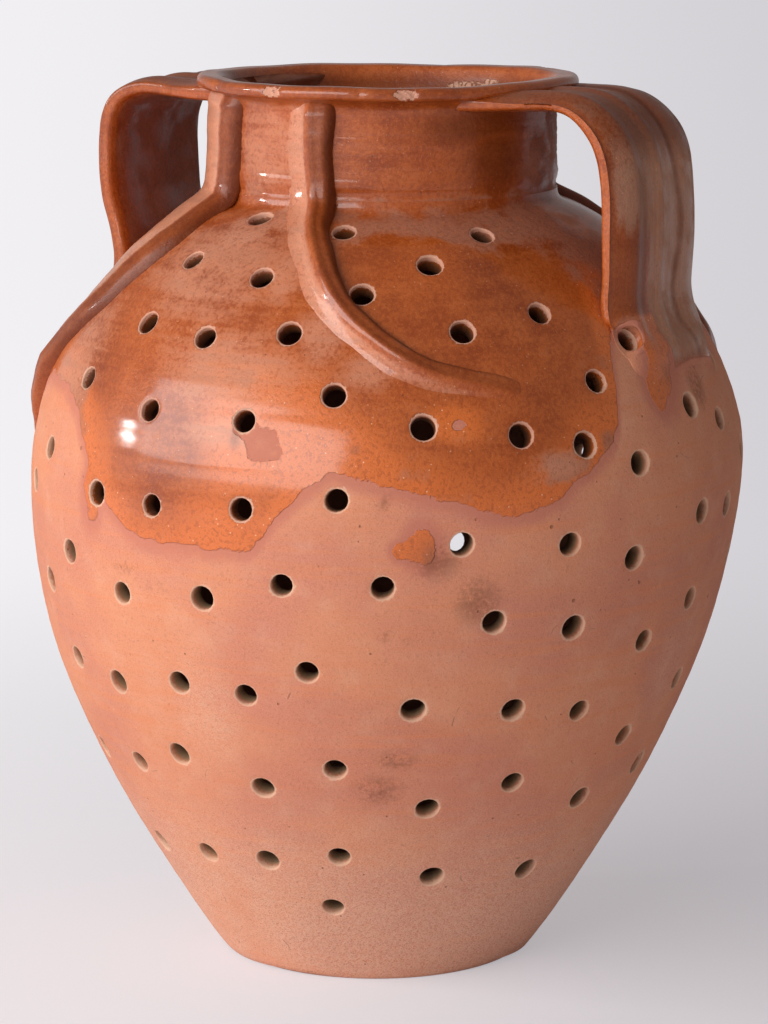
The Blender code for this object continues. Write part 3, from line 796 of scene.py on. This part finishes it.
def rounded(line, count, easing=1.2 * MM):
    """A line through count even points, its corners rounded by a running mean."""
    stops = np.linspace(0, walk(line)[-1], 2000)
    reach = max(1, round(easing / stops[1]))
    padded = np.pad(at_stops(line, stops), ((reach, reach), (0, 0)), mode="edge")
    soft = running_mean(padded, np.ones(2 * reach + 1))
    return soft[np.linspace(0, 1999, count).round().astype(int)]


def rim_wobble(bearing):
    """How far the rim's top rises and falls round the mouth."""
    slow = 0.5 * np.sin(2 * bearing + 0.6) + 0.25 * np.sin(5 * bearing + 2)
    return (slow + 0.12 * np.sin(13 * bearing)) * MM


def neck_rows(bearing):
    """Rows of points round the neck from the crest up its outside, over the rim and down the
    bore: first the wall's own line, then the rim's profile, which takes the wall's unevenness
    outside and the finger rings inside, and sinks in where the edge is chipped. Also how deep
    each point is chipped, and 1 where it lies inside."""
    up = np.linspace(crest, along_at(338 * MM), 34)[:, None] + 0 * bearing
    groove = 0.55 * bump(up, along_at(304.5 * MM) + 4 * MM, 1.6 * MM)
    groove = groove - 0.35 * bump(up, along_at(313 * MM), 2.5 * MM)
    combed = 0.07 * np.sin(2 * math.pi * up / (2.6 * MM) + bearing)
    combed = combed + 0.05 * np.sin(2 * math.pi * up / (4.1 * MM) + 3 * bearing)
    outside = wall(bearing + 0 * up, up, (groove + combed) * MM)
    profile = rounded(RIM_PROFILE, 78)
    radius, level = profile[:, :1], profile[:, 1:]
    edge = bump(level, 347.6 * MM, 2.6 * MM) * held((radius - 70 * MM) / (4 * MM))
    share = held(np.linspace(-0.9, 1.3, len(profile)))[:, None]
    radius = radius + (1 - share) * unevenness(bearing, level) + share * finger_rings(bearing, level)
    height = level + held((level - 330 * MM) / (20 * MM)) * rim_wobble(bearing)
    bitten = sum(
        depth * np.exp(-(np.abs(turned_to(bearing, FACING + math.radians(spot)) * 75 / half) ** 1.8))
        for spot, half, depth in CHIPS
    )
    ragged = 0.85 + 0.3 * np.sin(140 * bearing + 1.7 * np.arange(len(profile))[:, None])
    chipped = edge * (bitten * ragged)
    radius = radius - chipped * MM
    height = height - 0.7 * chipped * MM * (level > 347 * MM)
    foot = wall(bearing[None], np.full((1, len(bearing)), crest), WALL)
    rows = np.concatenate([outside, round_axis(radius, bearing, height), foot])
    chipped = np.concatenate([0 * outside[..., 0], chipped, 0 * foot[..., 0]])
    inner = np.r_[np.zeros(len(outside)), held((share[:, 0] - 0.02) * 6), 1]
    return rows, chipped, inner[:, None] + 0 * bearing


# Places on the neck and in the mouth: bearing from the facing side, height, half sizes in mm
NECK_DULL = (
    (62, 319, 20, 17), (74, 330, 16, 22), (5, 306, 80, 3.2), (80, 306, 60, 5), (-48, 309, 8, 3),
    (190, 320, 40, 14),
)
NECK_FILM = (
    (-44, 326, 22, 22), (-31, 326, 6, 24), (58, 318, 9, 8), (70, 318, 8, 14), (150, 322, 20, 8),
)
# NECK_SHADE: where shade is painted on the neck's right side, which also stands for deeper amber there
NECK_SHADE = ((30, 334, 30, 10), (38, 322, 18, 16))
CRUST = ((147, 341, 22, 5), (138, 344, 10, 3), (160, 339, 9, 3), (-120, 342, 12, 4), (20, 343, 9, 3))
ALL_GLAZED = 40.0  # so many mm above the glaze's edge
turns = np.arange(480) * 2 * math.pi / 480
rows, chipped, inner = neck_rows(turns)
numbers = np.arange(rows[..., 0].size).reshape(rows.shape[:2])
points, around, inner = rows.reshape(-1, 3), np.tile(turns, len(rows)), inner.reshape(-1)
dull, filmed, shade, crusted = (
    touched(around, points[:, 2], places, NECK_RADIUS)
    for places in (NECK_DULL, NECK_FILM, NECK_SHADE, CRUST)
)
# The shaded mark paints shade over the inside of the mouth, and at NECK_SHADE on the neck's right side
neck_marks = {
    "above_edge": np.full(len(points), ALL_GLAZED),
    "dull": np.clip(dull + 0.25, -0.3, 1) * (1 - inner),
    "filmed": held(filmed * 1.1, 0.5) * (1 - inner),
    "worn": held(chipped.reshape(-1) * 1.1) + held(crusted * inner * 1.2, 0.62),
    "shaded": np.maximum(0.85 * inner, held(shade * 1.3, 0.85)),
}
round_neck = quads(np.vstack([numbers, numbers[:1]]))
neck = make_mesh("neck_clay", points, [round_neck], neck_marks, np.r_[numbers[0], numbers[-1]])
neck.data.materials.append(fired("amber_glaze_on_neck"))
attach(neck, "root")
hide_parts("neck")

# Strips: four ribbons of clay luted on from under the rim, down the neck and round over the
# shoulder. One edge of each was smeared out with the thumb, the other stands as a sharp crease.
STRIP_LINE = measured(body_line(7 * MM))
SINK = 2.5 * MM
# How proud each is and how far it is smeared out, in mm, at shares of its length, and the same
# for the one at the left front, which was pressed down flat
PROUD = ((0, 1.5), (0.035, 4.6), (0.1, 5.4), (0.5, 5.0), (0.74, 3.6), (0.88, 1.6), (1, -0.6))
SMEAR = ((0, 13), (0.12, 15), (0.3, 13), (0.6, 10), (0.8, 9.5), (1, 6))
FLAT_PROUD = (
    (0, 1.8), (0.03, 4.8), (0.1, 5.8), (0.4, 5.2), (0.6, 4.2), (0.72, 4.6), (0.8, 5.8), (0.9, 4.6),
    (1, 1.5),
)
FLAT_SMEAR = ((0, 46), (0.2, 46), (0.34, 32), (0.5, 24), (0.7, 18), (0.85, 10), (1, 6))
# Bearing from the facing side and height in mm along the front two, as the photograph shows
FRONT_STRIPS = {
    "strip_front_right": (
        (-23.4, 346), (-23.2, 330), (-22.6, 314), (-21.4, 303.5), (-19.2, 296), (-16.4, 290.6),
        (-11.9, 279), (-8.1, 271), (-4, 264), (0.5, 258), (4.7, 253), (8.8, 249.8), (12.8, 247.6),
        (17, 246), (21.9, 243.5), (26, 241)),
    "strip_front_left": (
        (-62.5, 346), (-63, 328), (-63.7, 310), (-63.8, 301), (-63.4, 295), (-63.8, 288),
        (-66.8, 281.5), (-69.6, 272.5), (-73.2, 263), (-77.3, 255), (-80.5, 248), (-83.5, 241),
        (-86, 233), (-88, 224), (-89.5, 215), (-90.5, 207)),
}


def smooth_path(bearing, along, count):
    """Even points along a path on the wall and the distance walked, corners eased."""
    radius = np.interp(along, STRIP_LINE[:, 0], STRIP_LINE[:, 1])
    steps = np.hypot(np.diff(bearing) * (radius[1:] + radius[:-1]) / 2, np.diff(along))
    walked = np.r_[0, np.cumsum(steps)]
    stops = np.linspace(0, walked[-1], 600)
    fine = np.column_stack([np.interp(stops, walked, values) for values in (bearing, along)])
    beyond = np.arange(1, round(7 * MM / stops[1]) + 1)[:, None]
    before = fine[0] - beyond[::-1] * (fine[1] - fine[0])
    after = fine[-1] + beyond * (fine[-1] - fine[-2])
    soft = running_mean(np.vstack([before, fine, after]), np.ones(2 * len(beyond) + 1))
    pick = np.linspace(0, 599, count).round().astype(int)
    return soft[pick, 0], soft[pick, 1], stops[pick]


def lofted(name, rows, marks, hole=None):
    """A closed piece through rows of points, each row a loop, with a fan of faces at each end
    round its middle. The marks are grids like the rows. A hole is two loops of grid places, one
    on each side, with the cells to leave out there; a tube joins them."""
    count = rows[..., 0].size
    numbers = np.arange(count).reshape(rows.shape[:2])
    middles = rows[[0, -1]].mean(axis=1)
    first, last = numbers[0], numbers[-1]
    fans = [
        np.stack([np.full(len(first), count), np.roll(first, -1), first], -1),
        np.stack([np.full(len(last), count + 1), last, np.roll(last, -1)], -1),
    ]
    keep = np.ones((len(rows) - 1, rows.shape[1]), bool)
    for _, _, cell_i, cell_j in hole or ():
        keep[cell_i, cell_j] = False
    if hole:
        fans.append(quads(np.stack([numbers[loop_i, loop_j] for loop_i, loop_j, _, _ in hole])))
    points = np.concatenate([rows.reshape(-1, 3), middles])
    marks = {
        label: np.r_[grid.reshape(-1), grid[0].mean(), grid[-1].mean()] for label, grid in marks.items()
    }
    return make_mesh(name, points, [quads(numbers, keep), *fans], marks)


def laid_strip(name, bearing, height, smeared, seed, flat=0):
    """A ribbon on the wall along a path. Across it, from -1 to 1, its back is a dome that is
    pulled out thin on the smeared side and drops steeply on the other, or where flat is 1 a level
    band with a sloping edge; its underside is sunk in the wall. It is broadest under the rim and
    runs out thin at its tail."""
    along = np.interp(along_at(height), WALL_LINE[:, 0], STRIP_LINE[:, 0])
    bearing, along, walked = smooth_path(bearing, along, 220)
    radius = np.interp(along, STRIP_LINE[:, 0], STRIP_LINE[:, 1])
    around, up = np.gradient(bearing) * radius, np.gradient(along)
    size = np.hypot(around, up)
    side_x, side_y = (-up / size * smeared)[:, None], (around / size * smeared)[:, None]
    bearing, along, radius, walked = (values[:, None] for values in (bearing, along, radius, walked))
    share = walked / walked[-1]
    wave = np.sin(walked / MM / 6.3 + seed) + 0.6 * np.sin(walked / MM / 3.1 + 2 * seed)
    half = (6.2 * (1 - 0.35 * share) + 2.2 * bump(share, 0, 0.10) + 0.25 * wave) * MM
    half = half + flat * (0.5 + 3.5 * bump(share, 0.5, 0.16)) * MM
    skirt = np.interp(share, *np.array(FLAT_SMEAR if flat else SMEAR).T) + 0.5 * np.roll(wave, 20)
    proud = np.interp(share, *np.array(FLAT_PROUD if flat else PROUD).T) + 0.18 * np.roll(wave, 9)
    skirt, proud = skirt * MM, proud * MM * held((1 - share) / 0.06) ** 0.6
    proud = proud - 0.4 * MM * (share > 0.9) * (share - 0.9) / 0.1
    turn = np.linspace(0, 2 * math.pi, 48, endpoint=False) + 0.07
    across, rise = np.cos(turn), np.sin(turn)
    smear, crease = held(across), held(-across)
    offset = skirt * smear - half * crease
    near = held(smear * skirt / ((3.8 if flat else 6.5) * MM))
    ribbon = (0.5 * (1 - smear**2) + 0.5 * (1 - near**2) ** 1.5) * (1 - crease**3.4) ** 0.62
    band = (1 - smear**3.5) * (1 - crease**2.2) ** 0.8
    level = flat * held((0.85 - share) / 0.35)
    ridge = 0.16 * bump(near, 0.22, 0.18) - 0.08 * bump(crease, 0.25, 0.25)
    dome = level * band + (1 - level) * ribbon + ridge * (share > 0.02)
    top = (proud + 0.5 * MM) * dome - 0.5 * MM
    depth = np.where(rise > 0, -top, SINK * np.abs(rise) ** 0.5)
    spots = wall(bearing + offset * side_x / radius, along + offset * side_y, depth, STRIP_LINE)
    wide, far = near - crease, smear**3 + 0 * near
    if smeared < 0:
        spots, wide, far = spots[:, ::-1], wide[:, ::-1], far[:, ::-1]
    lit = 0.4 if flat else 1.0
    filmed = held((wide - (0.15 if flat else 0.42)) * 4) * 0.9 * held((1.05 - lit * share) / 0.45)
    # Painted shade on the crease side, darkest in the crease itself and fading out at the tail; along the
    # band it also stands for the deeper amber there
    shaded = held(0.7 - (wide - 0.1) * 3, 0.7) + held(-wide - 0.6, 0.25) * 1.4
    marks = {
        "above_edge": 0 * wide + ALL_GLAZED,
        "dull": 0.25 * bump(share, 0.72, 0.12) - 0.5 * bump(wide, 0.1, 0.5),
        "filmed": filmed * (1 - 0.5 * lit * far),
        "shaded": shaded * held((1.02 - share) / 0.3),
    }
    return lofted(name, spots, marks)


strips = {}
for number, (name, path) in enumerate(FRONT_STRIPS.items()):
    seen, height = np.array(path).T
    bearing = FACING + np.radians(seen)
    strips[name] = laid_strip(name + "_clay", bearing, height * MM, -1, 2.0 + number, flat=number)
for number, (name, shape) in enumerate(BACK_STRIPS.items()):
    bearing, along = (values[:-7] for values in strip_line(*shape))
    height = np.interp(along, WALL_LINE[:, 0], WALL_LINE[:, 2])
    strips[name] = laid_strip(name + "_clay", bearing, height, (1, -1)[number], 5.0 + number)
strip_finish = fired("amber_glaze_on_strips")
for name, strip in strips.items():
    strip.data.materials.append(strip_finish)
    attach(strip, "root")
    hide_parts(name)

# Handles: two wide straps, each pulled with three finger grooves, pressed on under the rim, bent
# down in a square-shouldered hook and smeared out over the shoulder with the thumb.
HANDLE_HALF = 32.5 * MM
# Middle line in the handle's own plane: distance from the axis, height and thickness in mm
RIGHT_LINE = np.array([
    (63, 343.2, 8.0), (70, 343.3, 7.6), (78, 343.4, 7.2), (86, 343.6, 7.0), (92.7, 342.7, 7.6),
    (98.0, 340.6, 8.7), (103.6, 336.2, 10.4), (108.8, 330.2, 11.6), (112.0, 323.0, 12.2),
    (113.7, 313.8, 12.4), (114.6, 303, 12.2), (115.0, 290, 11.4), (114.9, 279, 10.4), (114.3, 271, 10.6),
    (115.4, 263.5, 11.0), (119.0, 256.0, 10.0), (124.4, 248.6, 7.4), (130.4, 241.5, 4.6),
    (135.0, 234.0, 3.0)])
LEFT_LINE = np.array([
    (63, 342.6, 8.0), (70, 342.7, 7.6), (78, 342.9, 7.2), (87, 343.2, 7.0), (95, 343.4, 7.1),
    (102.2, 341.6, 7.4), (108.2, 337.2, 7.8), (111.4, 330.0, 8.2), (112.4, 320, 8.2), (112.1, 309, 8.0),
    (111.0, 298, 8.0), (107.4, 286, 8.2), (105.4, 276, 8.6), (106.0, 268.5, 9.4), (111.4, 260.8, 9.6),
    (118.0, 253.4, 7.6), (124.8, 246.6, 4.8), (131, 239, 3.0)])
# The hole through the front edge of the right handle's foot, and its radius there
FOOT_HOLE, FOOT_HOLE_RADIUS = (46.8, 256.0), HOLE_RADIUS + 0.3 * MM


def flat_oval(count):
    """Even points round a squared oval of 65 by 10 mm, as shares of its half sizes: powers of
    sine and cosine, walked at equal steps from one edge over the outside."""
    angle = np.linspace(0, 2 * math.pi, 8001)
    across = np.sign(np.cos(angle)) * np.abs(np.cos(angle)) ** 0.42
    rise = np.sign(np.sin(angle)) * np.abs(np.sin(angle)) ** 0.30
    walked = walk(np.column_stack([across * HANDLE_HALF, rise * 5 * MM]))
    stops = (np.arange(count) + 0.5) / count * walked[-1]
    return np.interp(stops, walked, across), np.interp(stops, walked, rise)


def holed(rows, face):
    """Takes a block of cells out of the strap's foot, outside and under, round the hole that
    was punched through it, and draws the grid round to that hole. Returns the rows, and for
    each side the loop of grid points and the missing cells."""
    height = FOOT_HOLE[1] * MM
    turn, _, centre = place_on_wall(FOOT_HOLE[0], height)
    slope = np.interp(height, WALL_LINE[:, 2], np.arctan2(WALL_LINE[:, 4], WALL_LINE[:, 3]))
    out = round_axis(math.cos(slope), turn, math.sin(slope))
    east = np.array([-math.sin(turn), math.cos(turn), 0])
    local = (rows - centre) @ np.stack([east, np.cross(out, east), out], 1)
    far = np.hypot(local[..., 0], local[..., 1]) + 1.0 * ~face
    i, j = np.unravel_index(np.argmin(far), far.shape)
    half, columns = 4, rows.shape[1]
    right, above, loop_i, loop_j = loop_round(half, half)
    sides = []
    for column, way in ((j, 1), (columns - 1 - j, -1)):
        grid_i = np.arange(max(i - 3 * half, 0), min(i + 3 * half + 1, len(rows)))[:, None]
        grid_j = np.arange(-3 * half, 3 * half + 1)[None, :]
        x, y, stay = square_to_round(-grid_j / half, -(grid_i - i) / half, FOOT_HOLE_RADIUS, 4.5 * MM)
        spot = (grid_i, (column + way * grid_j) % columns)
        local[spot + (0,)] += (1 - stay) * (x - local[spot + (0,)])
        local[spot + (1,)] += (1 - stay) * (y - local[spot + (1,)])
        cells = (column + way * right - (way < 0)) % columns
        sides.append((i + loop_i, (column + way * loop_j) % columns, i + above[:, None], cells))
    return centre + local @ np.stack([east, np.cross(out, east), out], 0), sides


def strap(name, line, turn, seed, dulled, filming):
    """A strap along its middle line. Its section is a flat oval with three ridges on the
    outside and rounded edges; at the root it wraps round the neck under the rim, and at the foot
    it leans over on to the shoulder, where its back thins out and its front sinks in."""
    line = rounded(line * MM, 150, 3.5 * MM)
    middle, thick = line[:, :2], line[:, 2:]
    ahead = np.gradient(middle, axis=0)
    ahead /= np.hypot(*ahead.T)[:, None]
    outward = np.column_stack([-ahead[:, 1], ahead[:, 0]])
    walked = walk(middle)[:, None]
    left = walked[-1] - walked
    half = HANDLE_HALF + (13 * bump(walked, 0, 13 * MM) + 5.5 * np.exp(-left / (9 * MM))) * MM
    uneven = 0.5 * np.sin(walked / MM / 17 + seed) + 0.25 * np.sin(walked / MM / 5.3 + 3 * seed)
    half = half + uneven * MM
    across, rise = flat_oval(128)
    wide = across * (-1 if turn == 0 else 1)
    grooves = 0.5 * np.cos(3 * math.pi * across + 0.25 * np.sin(seed))
    grooves = grooves + 0.22 * np.cos(7 * math.pi * across + seed) * np.cos(2 * across)
    pulled = np.sin(walked / MM / 21 + seed) * np.cos(2.2 * across + seed)
    fade = held(walked / (14 * MM)) * held(left / (22 * MM))
    front = held((wide - 0.62) / 0.38) ** 1.4 * (0.53 if turn == 0 else 0.0318)
    lift = thick / 2 * rise + fade * held(rise) * (1.15 * grooves + 0.25 * pulled) * MM
    lift = lift - thick * (fade * held(rise) * front)
    lift = lift + 0.35 * MM * fade * (rise < 0) * np.cos(2.5 * across * math.pi + seed)
    curl = np.abs(across) ** 6 * 0.7 * MM * bump(walked, 0.045, 0.02)
    reach = middle[:, :1] + outward[:, :1] * (lift + curl)
    height = middle[:, 1:] + outward[:, 1:] * (lift + curl)
    aside = half * across + 0.8 * MM * np.sin(walked / MM / 30 + seed)
    cos, sin = math.cos(turn), math.sin(turn)
    hung = np.stack([reach * cos - aside * sin, reach * sin + aside * cos, height], -1)

    # Where the strap touches the pot it follows the shoulder or the neck instead
    bearing = turn + np.arctan2(aside, middle[:, :1])
    down = along_at(239 * MM) + left + 1.5 * MM * np.sin(3 * across + seed) * (left < 20 * MM)
    sole = held(left / (30 * MM)) ** 1.1 * 9.5 * MM - 0.8 * MM
    back = -sole * rise * (1 - 0.9 * np.abs(across) ** 4) + 0.7 * MM * np.abs(across) ** 6
    on_wall = wall(bearing, down + 0 * bearing, np.where(rise > 0, back, 3.5 * MM))
    foot = held(1 - (left - 4 * MM) / (25 * MM))[..., None]
    foot = foot * foot * (3 - 2 * foot)
    round_neck = turn + np.clip(aside / NECK_RADIUS, -0.9, 0.9)
    on_neck = wall(round_neck, along_at(343 * MM) + lift, 1.5 * MM)
    root = held(1 - walked / (15 * MM))[..., None] ** 1.5
    rows = (hung * (1 - foot) + on_wall * foot) * (1 - root) + on_neck * root

    # Painted shade, through the shaded mark: in the deepest groove, on the inner face that looks at the
    # neck and on the front edge that the window lights; over the front third and the bend it also stands
    # for the darker amber where the glaze lies thick. A dark streak lies along the deepest groove.
    wide = np.tile(wide, (len(rows), 1))
    face = np.tile(rise > 0, (len(rows), 1))
    level = middle[:, 1:] / MM + 0 * wide
    deepest = -0.42 - 0.05 * np.sin(level / 9)
    shade = 0.65 - 0.3 * held((level - 292) / 12) - 0.3 * held((wide - 0.84) * 8)
    shade = held((wide - 0.32) * 12) * shade
    bend = 0.7 * held((level - 318) / 10) * held((0.97 - wide) * 8)
    shade = np.maximum(shade, bend) + 0.5 * bump(wide, deepest, 0.05)
    shade = np.maximum(shade, 0.35 * held((wide - 0.9) * 16))
    marks = {
        "above_edge": ALL_GLAZED,
        "dull": dulled(wide, face, level),
        "shaded": np.where(face, shade, 0.42 * (wide < 0.9)),
        "filmed": face * filming(wide, level),
        "smudged": face * held(bump(wide, deepest, 0.06) * 0.9 * (level < 330)),
    }
    # The smeared foot takes the finish of the wall that it lies on
    none = np.zeros(bearing.size)
    below = wall_marks(bearing.reshape(-1), rows.reshape(-1, 3), none, none)
    share = held(1 - (left / MM - np.where(wide > 0.25, 32, 4)) / 6) * face
    blended = {label: (1 - share) * marks.get(label, 0.0) for label in {**below, **marks}}
    for label, values in below.items():
        blended[label] += share * values.reshape(share.shape)
    rows, hollow = holed(rows, face) if name == "handle_right_clay" else (rows, None)
    return lofted(name, rows, blended, hollow)


def dulled_right(wide, face, level):
    """The right strap's back is matt and grey-brown, but for a glossy amber third along its
    front edge that ends sharply; wide runs from -1 at the rear edge to 1 at the front."""
    front = held((wide - 0.36) * 14 + 0.5) * held((297 - level) / 6)
    return np.where(face, 0.6 - 0.6 * front, 0.6) * held((0.97 - wide) * 10)


def filmed_right(wide, level):
    """Ash-brown crust on the right strap's back, thinner over the bend at its top, with a ragged
    end above the amber."""
    ragged = 3 * np.sin(31 * wide) + 2 * np.sin(73 * wide + level / 5)
    front = held((wide - 0.30) * 14 + 0.5) * held((297 + ragged - level) / 10 + 0.5)
    return (1 - front) * (0.95 - 0.55 * held((level - 318) / 14)) * held((0.97 - wide) * 10)


def dulled_left(wide, face, level):
    """The left strap is glossy along its front edge and matt inside, where painted shade from the shaded
    mark makes it brown.
    """
    return np.where(face, 0.35, 0.60) * held((0.93 - wide) * 10)


def filmed_left(wide, level):
    """A thin crust on the left strap's back, but for its front edge."""
    return 0.35 * (wide < 0.6) + 0 * level


for name, line, turn, seed, dulled, filming in (
    ("handle_right", RIGHT_LINE, 0.0, 1.3, dulled_right, filmed_right),
    ("handle_left", LEFT_LINE, math.pi, 4.1, dulled_left, filmed_left),
):
    handle = strap(name + "_clay", line, turn, seed, dulled, filming)
    handle.data.materials.append(fired("amber_glaze_on_" + name, (620, 620, 13), ASH_FILM))
    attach(handle, "root")
    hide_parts(name)

# Stage: a round pale floor that runs out to the horizon, in a room that is pale round the horizon
# and dimmer overhead, and two windows on the left, a large soft one in front and a small one behind.
FLOOR, FLOOR_PATCH, FLOOR_RADIUS = tone(242, 237, 241), tone(236, 231, 236), 12.0
# RIGHT_GLOW is darker than LEFT_GLOW: painted shade across the background and its reflections
LEFT_GLOW, RIGHT_GLOW = tone(246, 244, 247), tone(212, 209, 214)
ROOM = (0.25, 0.242, 0.238, 1)
EYE_TO_POT = 1.4  # in metres, so that a place on the floor counts as the direction it lies in


def disc(radius, sides):
    """Points at even turns round a circle and one in its middle, with a fan of faces."""
    rim = np.arange(sides)
    ring = round_axis(radius, rim * 2 * math.pi / sides, 0)
    return np.vstack([ring, [[0, 0, 0]]]), np.stack([np.full(sides, sides), rim, np.roll(rim, -1)], -1)


def rightward(tree, place):
    """How far a place or a direction lies to the photograph's right."""
    sockets = {0: place, 1: (*SIDEWAYS, 0)}
    return tree.node("VectorMath", {"operation": "DOT_PRODUCT"}, sockets, output=1)


def background_rays(tree):
    """1 for a ray from the camera or a refracted one, which see the background's own glow, and
    less for a mirrored one, as the studio is dimmer where the glaze looks than behind the pot."""
    rays = tree.node("LightPath").socket.node.outputs
    shares = {"Is Camera Ray": 1, "Is Transmission Ray": 1, "Is Glossy Ray": 0.35}
    return sum(Signal(tree, rays[kind]) * share for kind, share in shares.items())


def glow_tint(tree, across):
    """The background's glow, darker towards the right by painted shade; across is the share of the way out
    that goes to the right."""
    return tree.mix(across.over(-0.13, 0.15), LEFT_GLOW, RIGHT_GLOW)


points, fan = disc(FLOOR_RADIUS, 96)
floor = make_mesh("paper_floor", points, [fan])
paper = Paint("pale_paper")
patched = paper.noise(1.2, 2).over(0.3, 0.7) * 0.5
paper.feed(paper.shader.inputs["Base Color"], paper.mix(patched, FLOOR, FLOOR_PATCH))
paper.shader.inputs["Roughness"].default_value = 0.95
away = paper.node("VectorMath", {"operation": "LENGTH"}, {0: paper.place}, output=1)
across = rightward(paper, paper.place) / (away + EYE_TO_POT)
glow = paper.node("Emission", None, {"Color": glow_tint(paper, across)})
glowing = background_rays(paper) * (0.52 + away.over(0.1, 0.9) * 0.43)
matt = Signal(paper, paper.shader.outputs[0])
lit_from_within = paper.node("MixShader", None, {0: glowing, 1: matt, 2: glow})
paper.feed(paper.nodes["Material Output"].inputs["Surface"], lit_from_within)
floor.data.materials.append(paper.material)

# The camera as it was fitted to the photograph: the ellipses of rim and foot and both outlines
LENS, LOOKS_DOWN, LOOKS_ASIDE = 127.34, math.radians(10.689), 3 / 3622
camera = bpy.data.objects.new("camera", bpy.data.cameras.new("camera"))
bpy.context.scene.collection.objects.link(camera)
camera.data.sensor_width, camera.data.lens = 36, LENS
camera.location = EYE
camera.rotation_euler = (math.pi / 2 - LOOKS_DOWN, 0, FACING + math.pi / 2 + LOOKS_ASIDE)
camera.data.clip_end = 50
bpy.context.scene.camera = camera


def window(name, left, away, height, width, tall, power, shape="RECTANGLE"):
    """A soft light to the left of the pot, so far away from the photographer's side, that faces
    the pot's middle."""
    beyond = -np.array([math.cos(FACING), math.sin(FACING)])
    spot = np.r_[-left * SIDEWAYS + away * beyond, height]
    lamp = bpy.data.objects.new(name, bpy.data.lights.new(name, "AREA"))
    lamp.data.shape, lamp.data.size, lamp.data.size_y, lamp.data.energy = shape, width, tall, power
    lamp.location = spot
    look = np.array([0, 0, BELLY_HEIGHT]) - spot
    level = math.hypot(look[0], look[1])
    lamp.rotation_euler = (math.atan2(level, -look[2]), 0, math.atan2(look[1], look[0]) - math.pi / 2)
    lamp.visible_camera = False
    bpy.context.scene.collection.objects.link(lamp)


window("window", 1.315, -1.048, 0.875, 2.4, 0.85, 36)
window("far_window", 1.93, 0.05, 0.60, 0.22, 0.13, 4.5, "ELLIPSE")

world = bpy.data.worlds.new("room")
world.use_nodes = True
room = Tree(world.node_tree)
way = room.node("TexCoord")
rise = room.node("SeparateXYZ", None, {0: way}, output=2)
pale = background_rays(room) * (1 - rise.over(0.04, 0.30))
tint = room.mix(pale, ROOM, glow_tint(room, rightward(room, way)))
room.feed(room.nodes["Background"].inputs["Color"], tint)
bpy.context.scene.world = world
bpy.context.scene.view_settings.view_transform = "Standard"
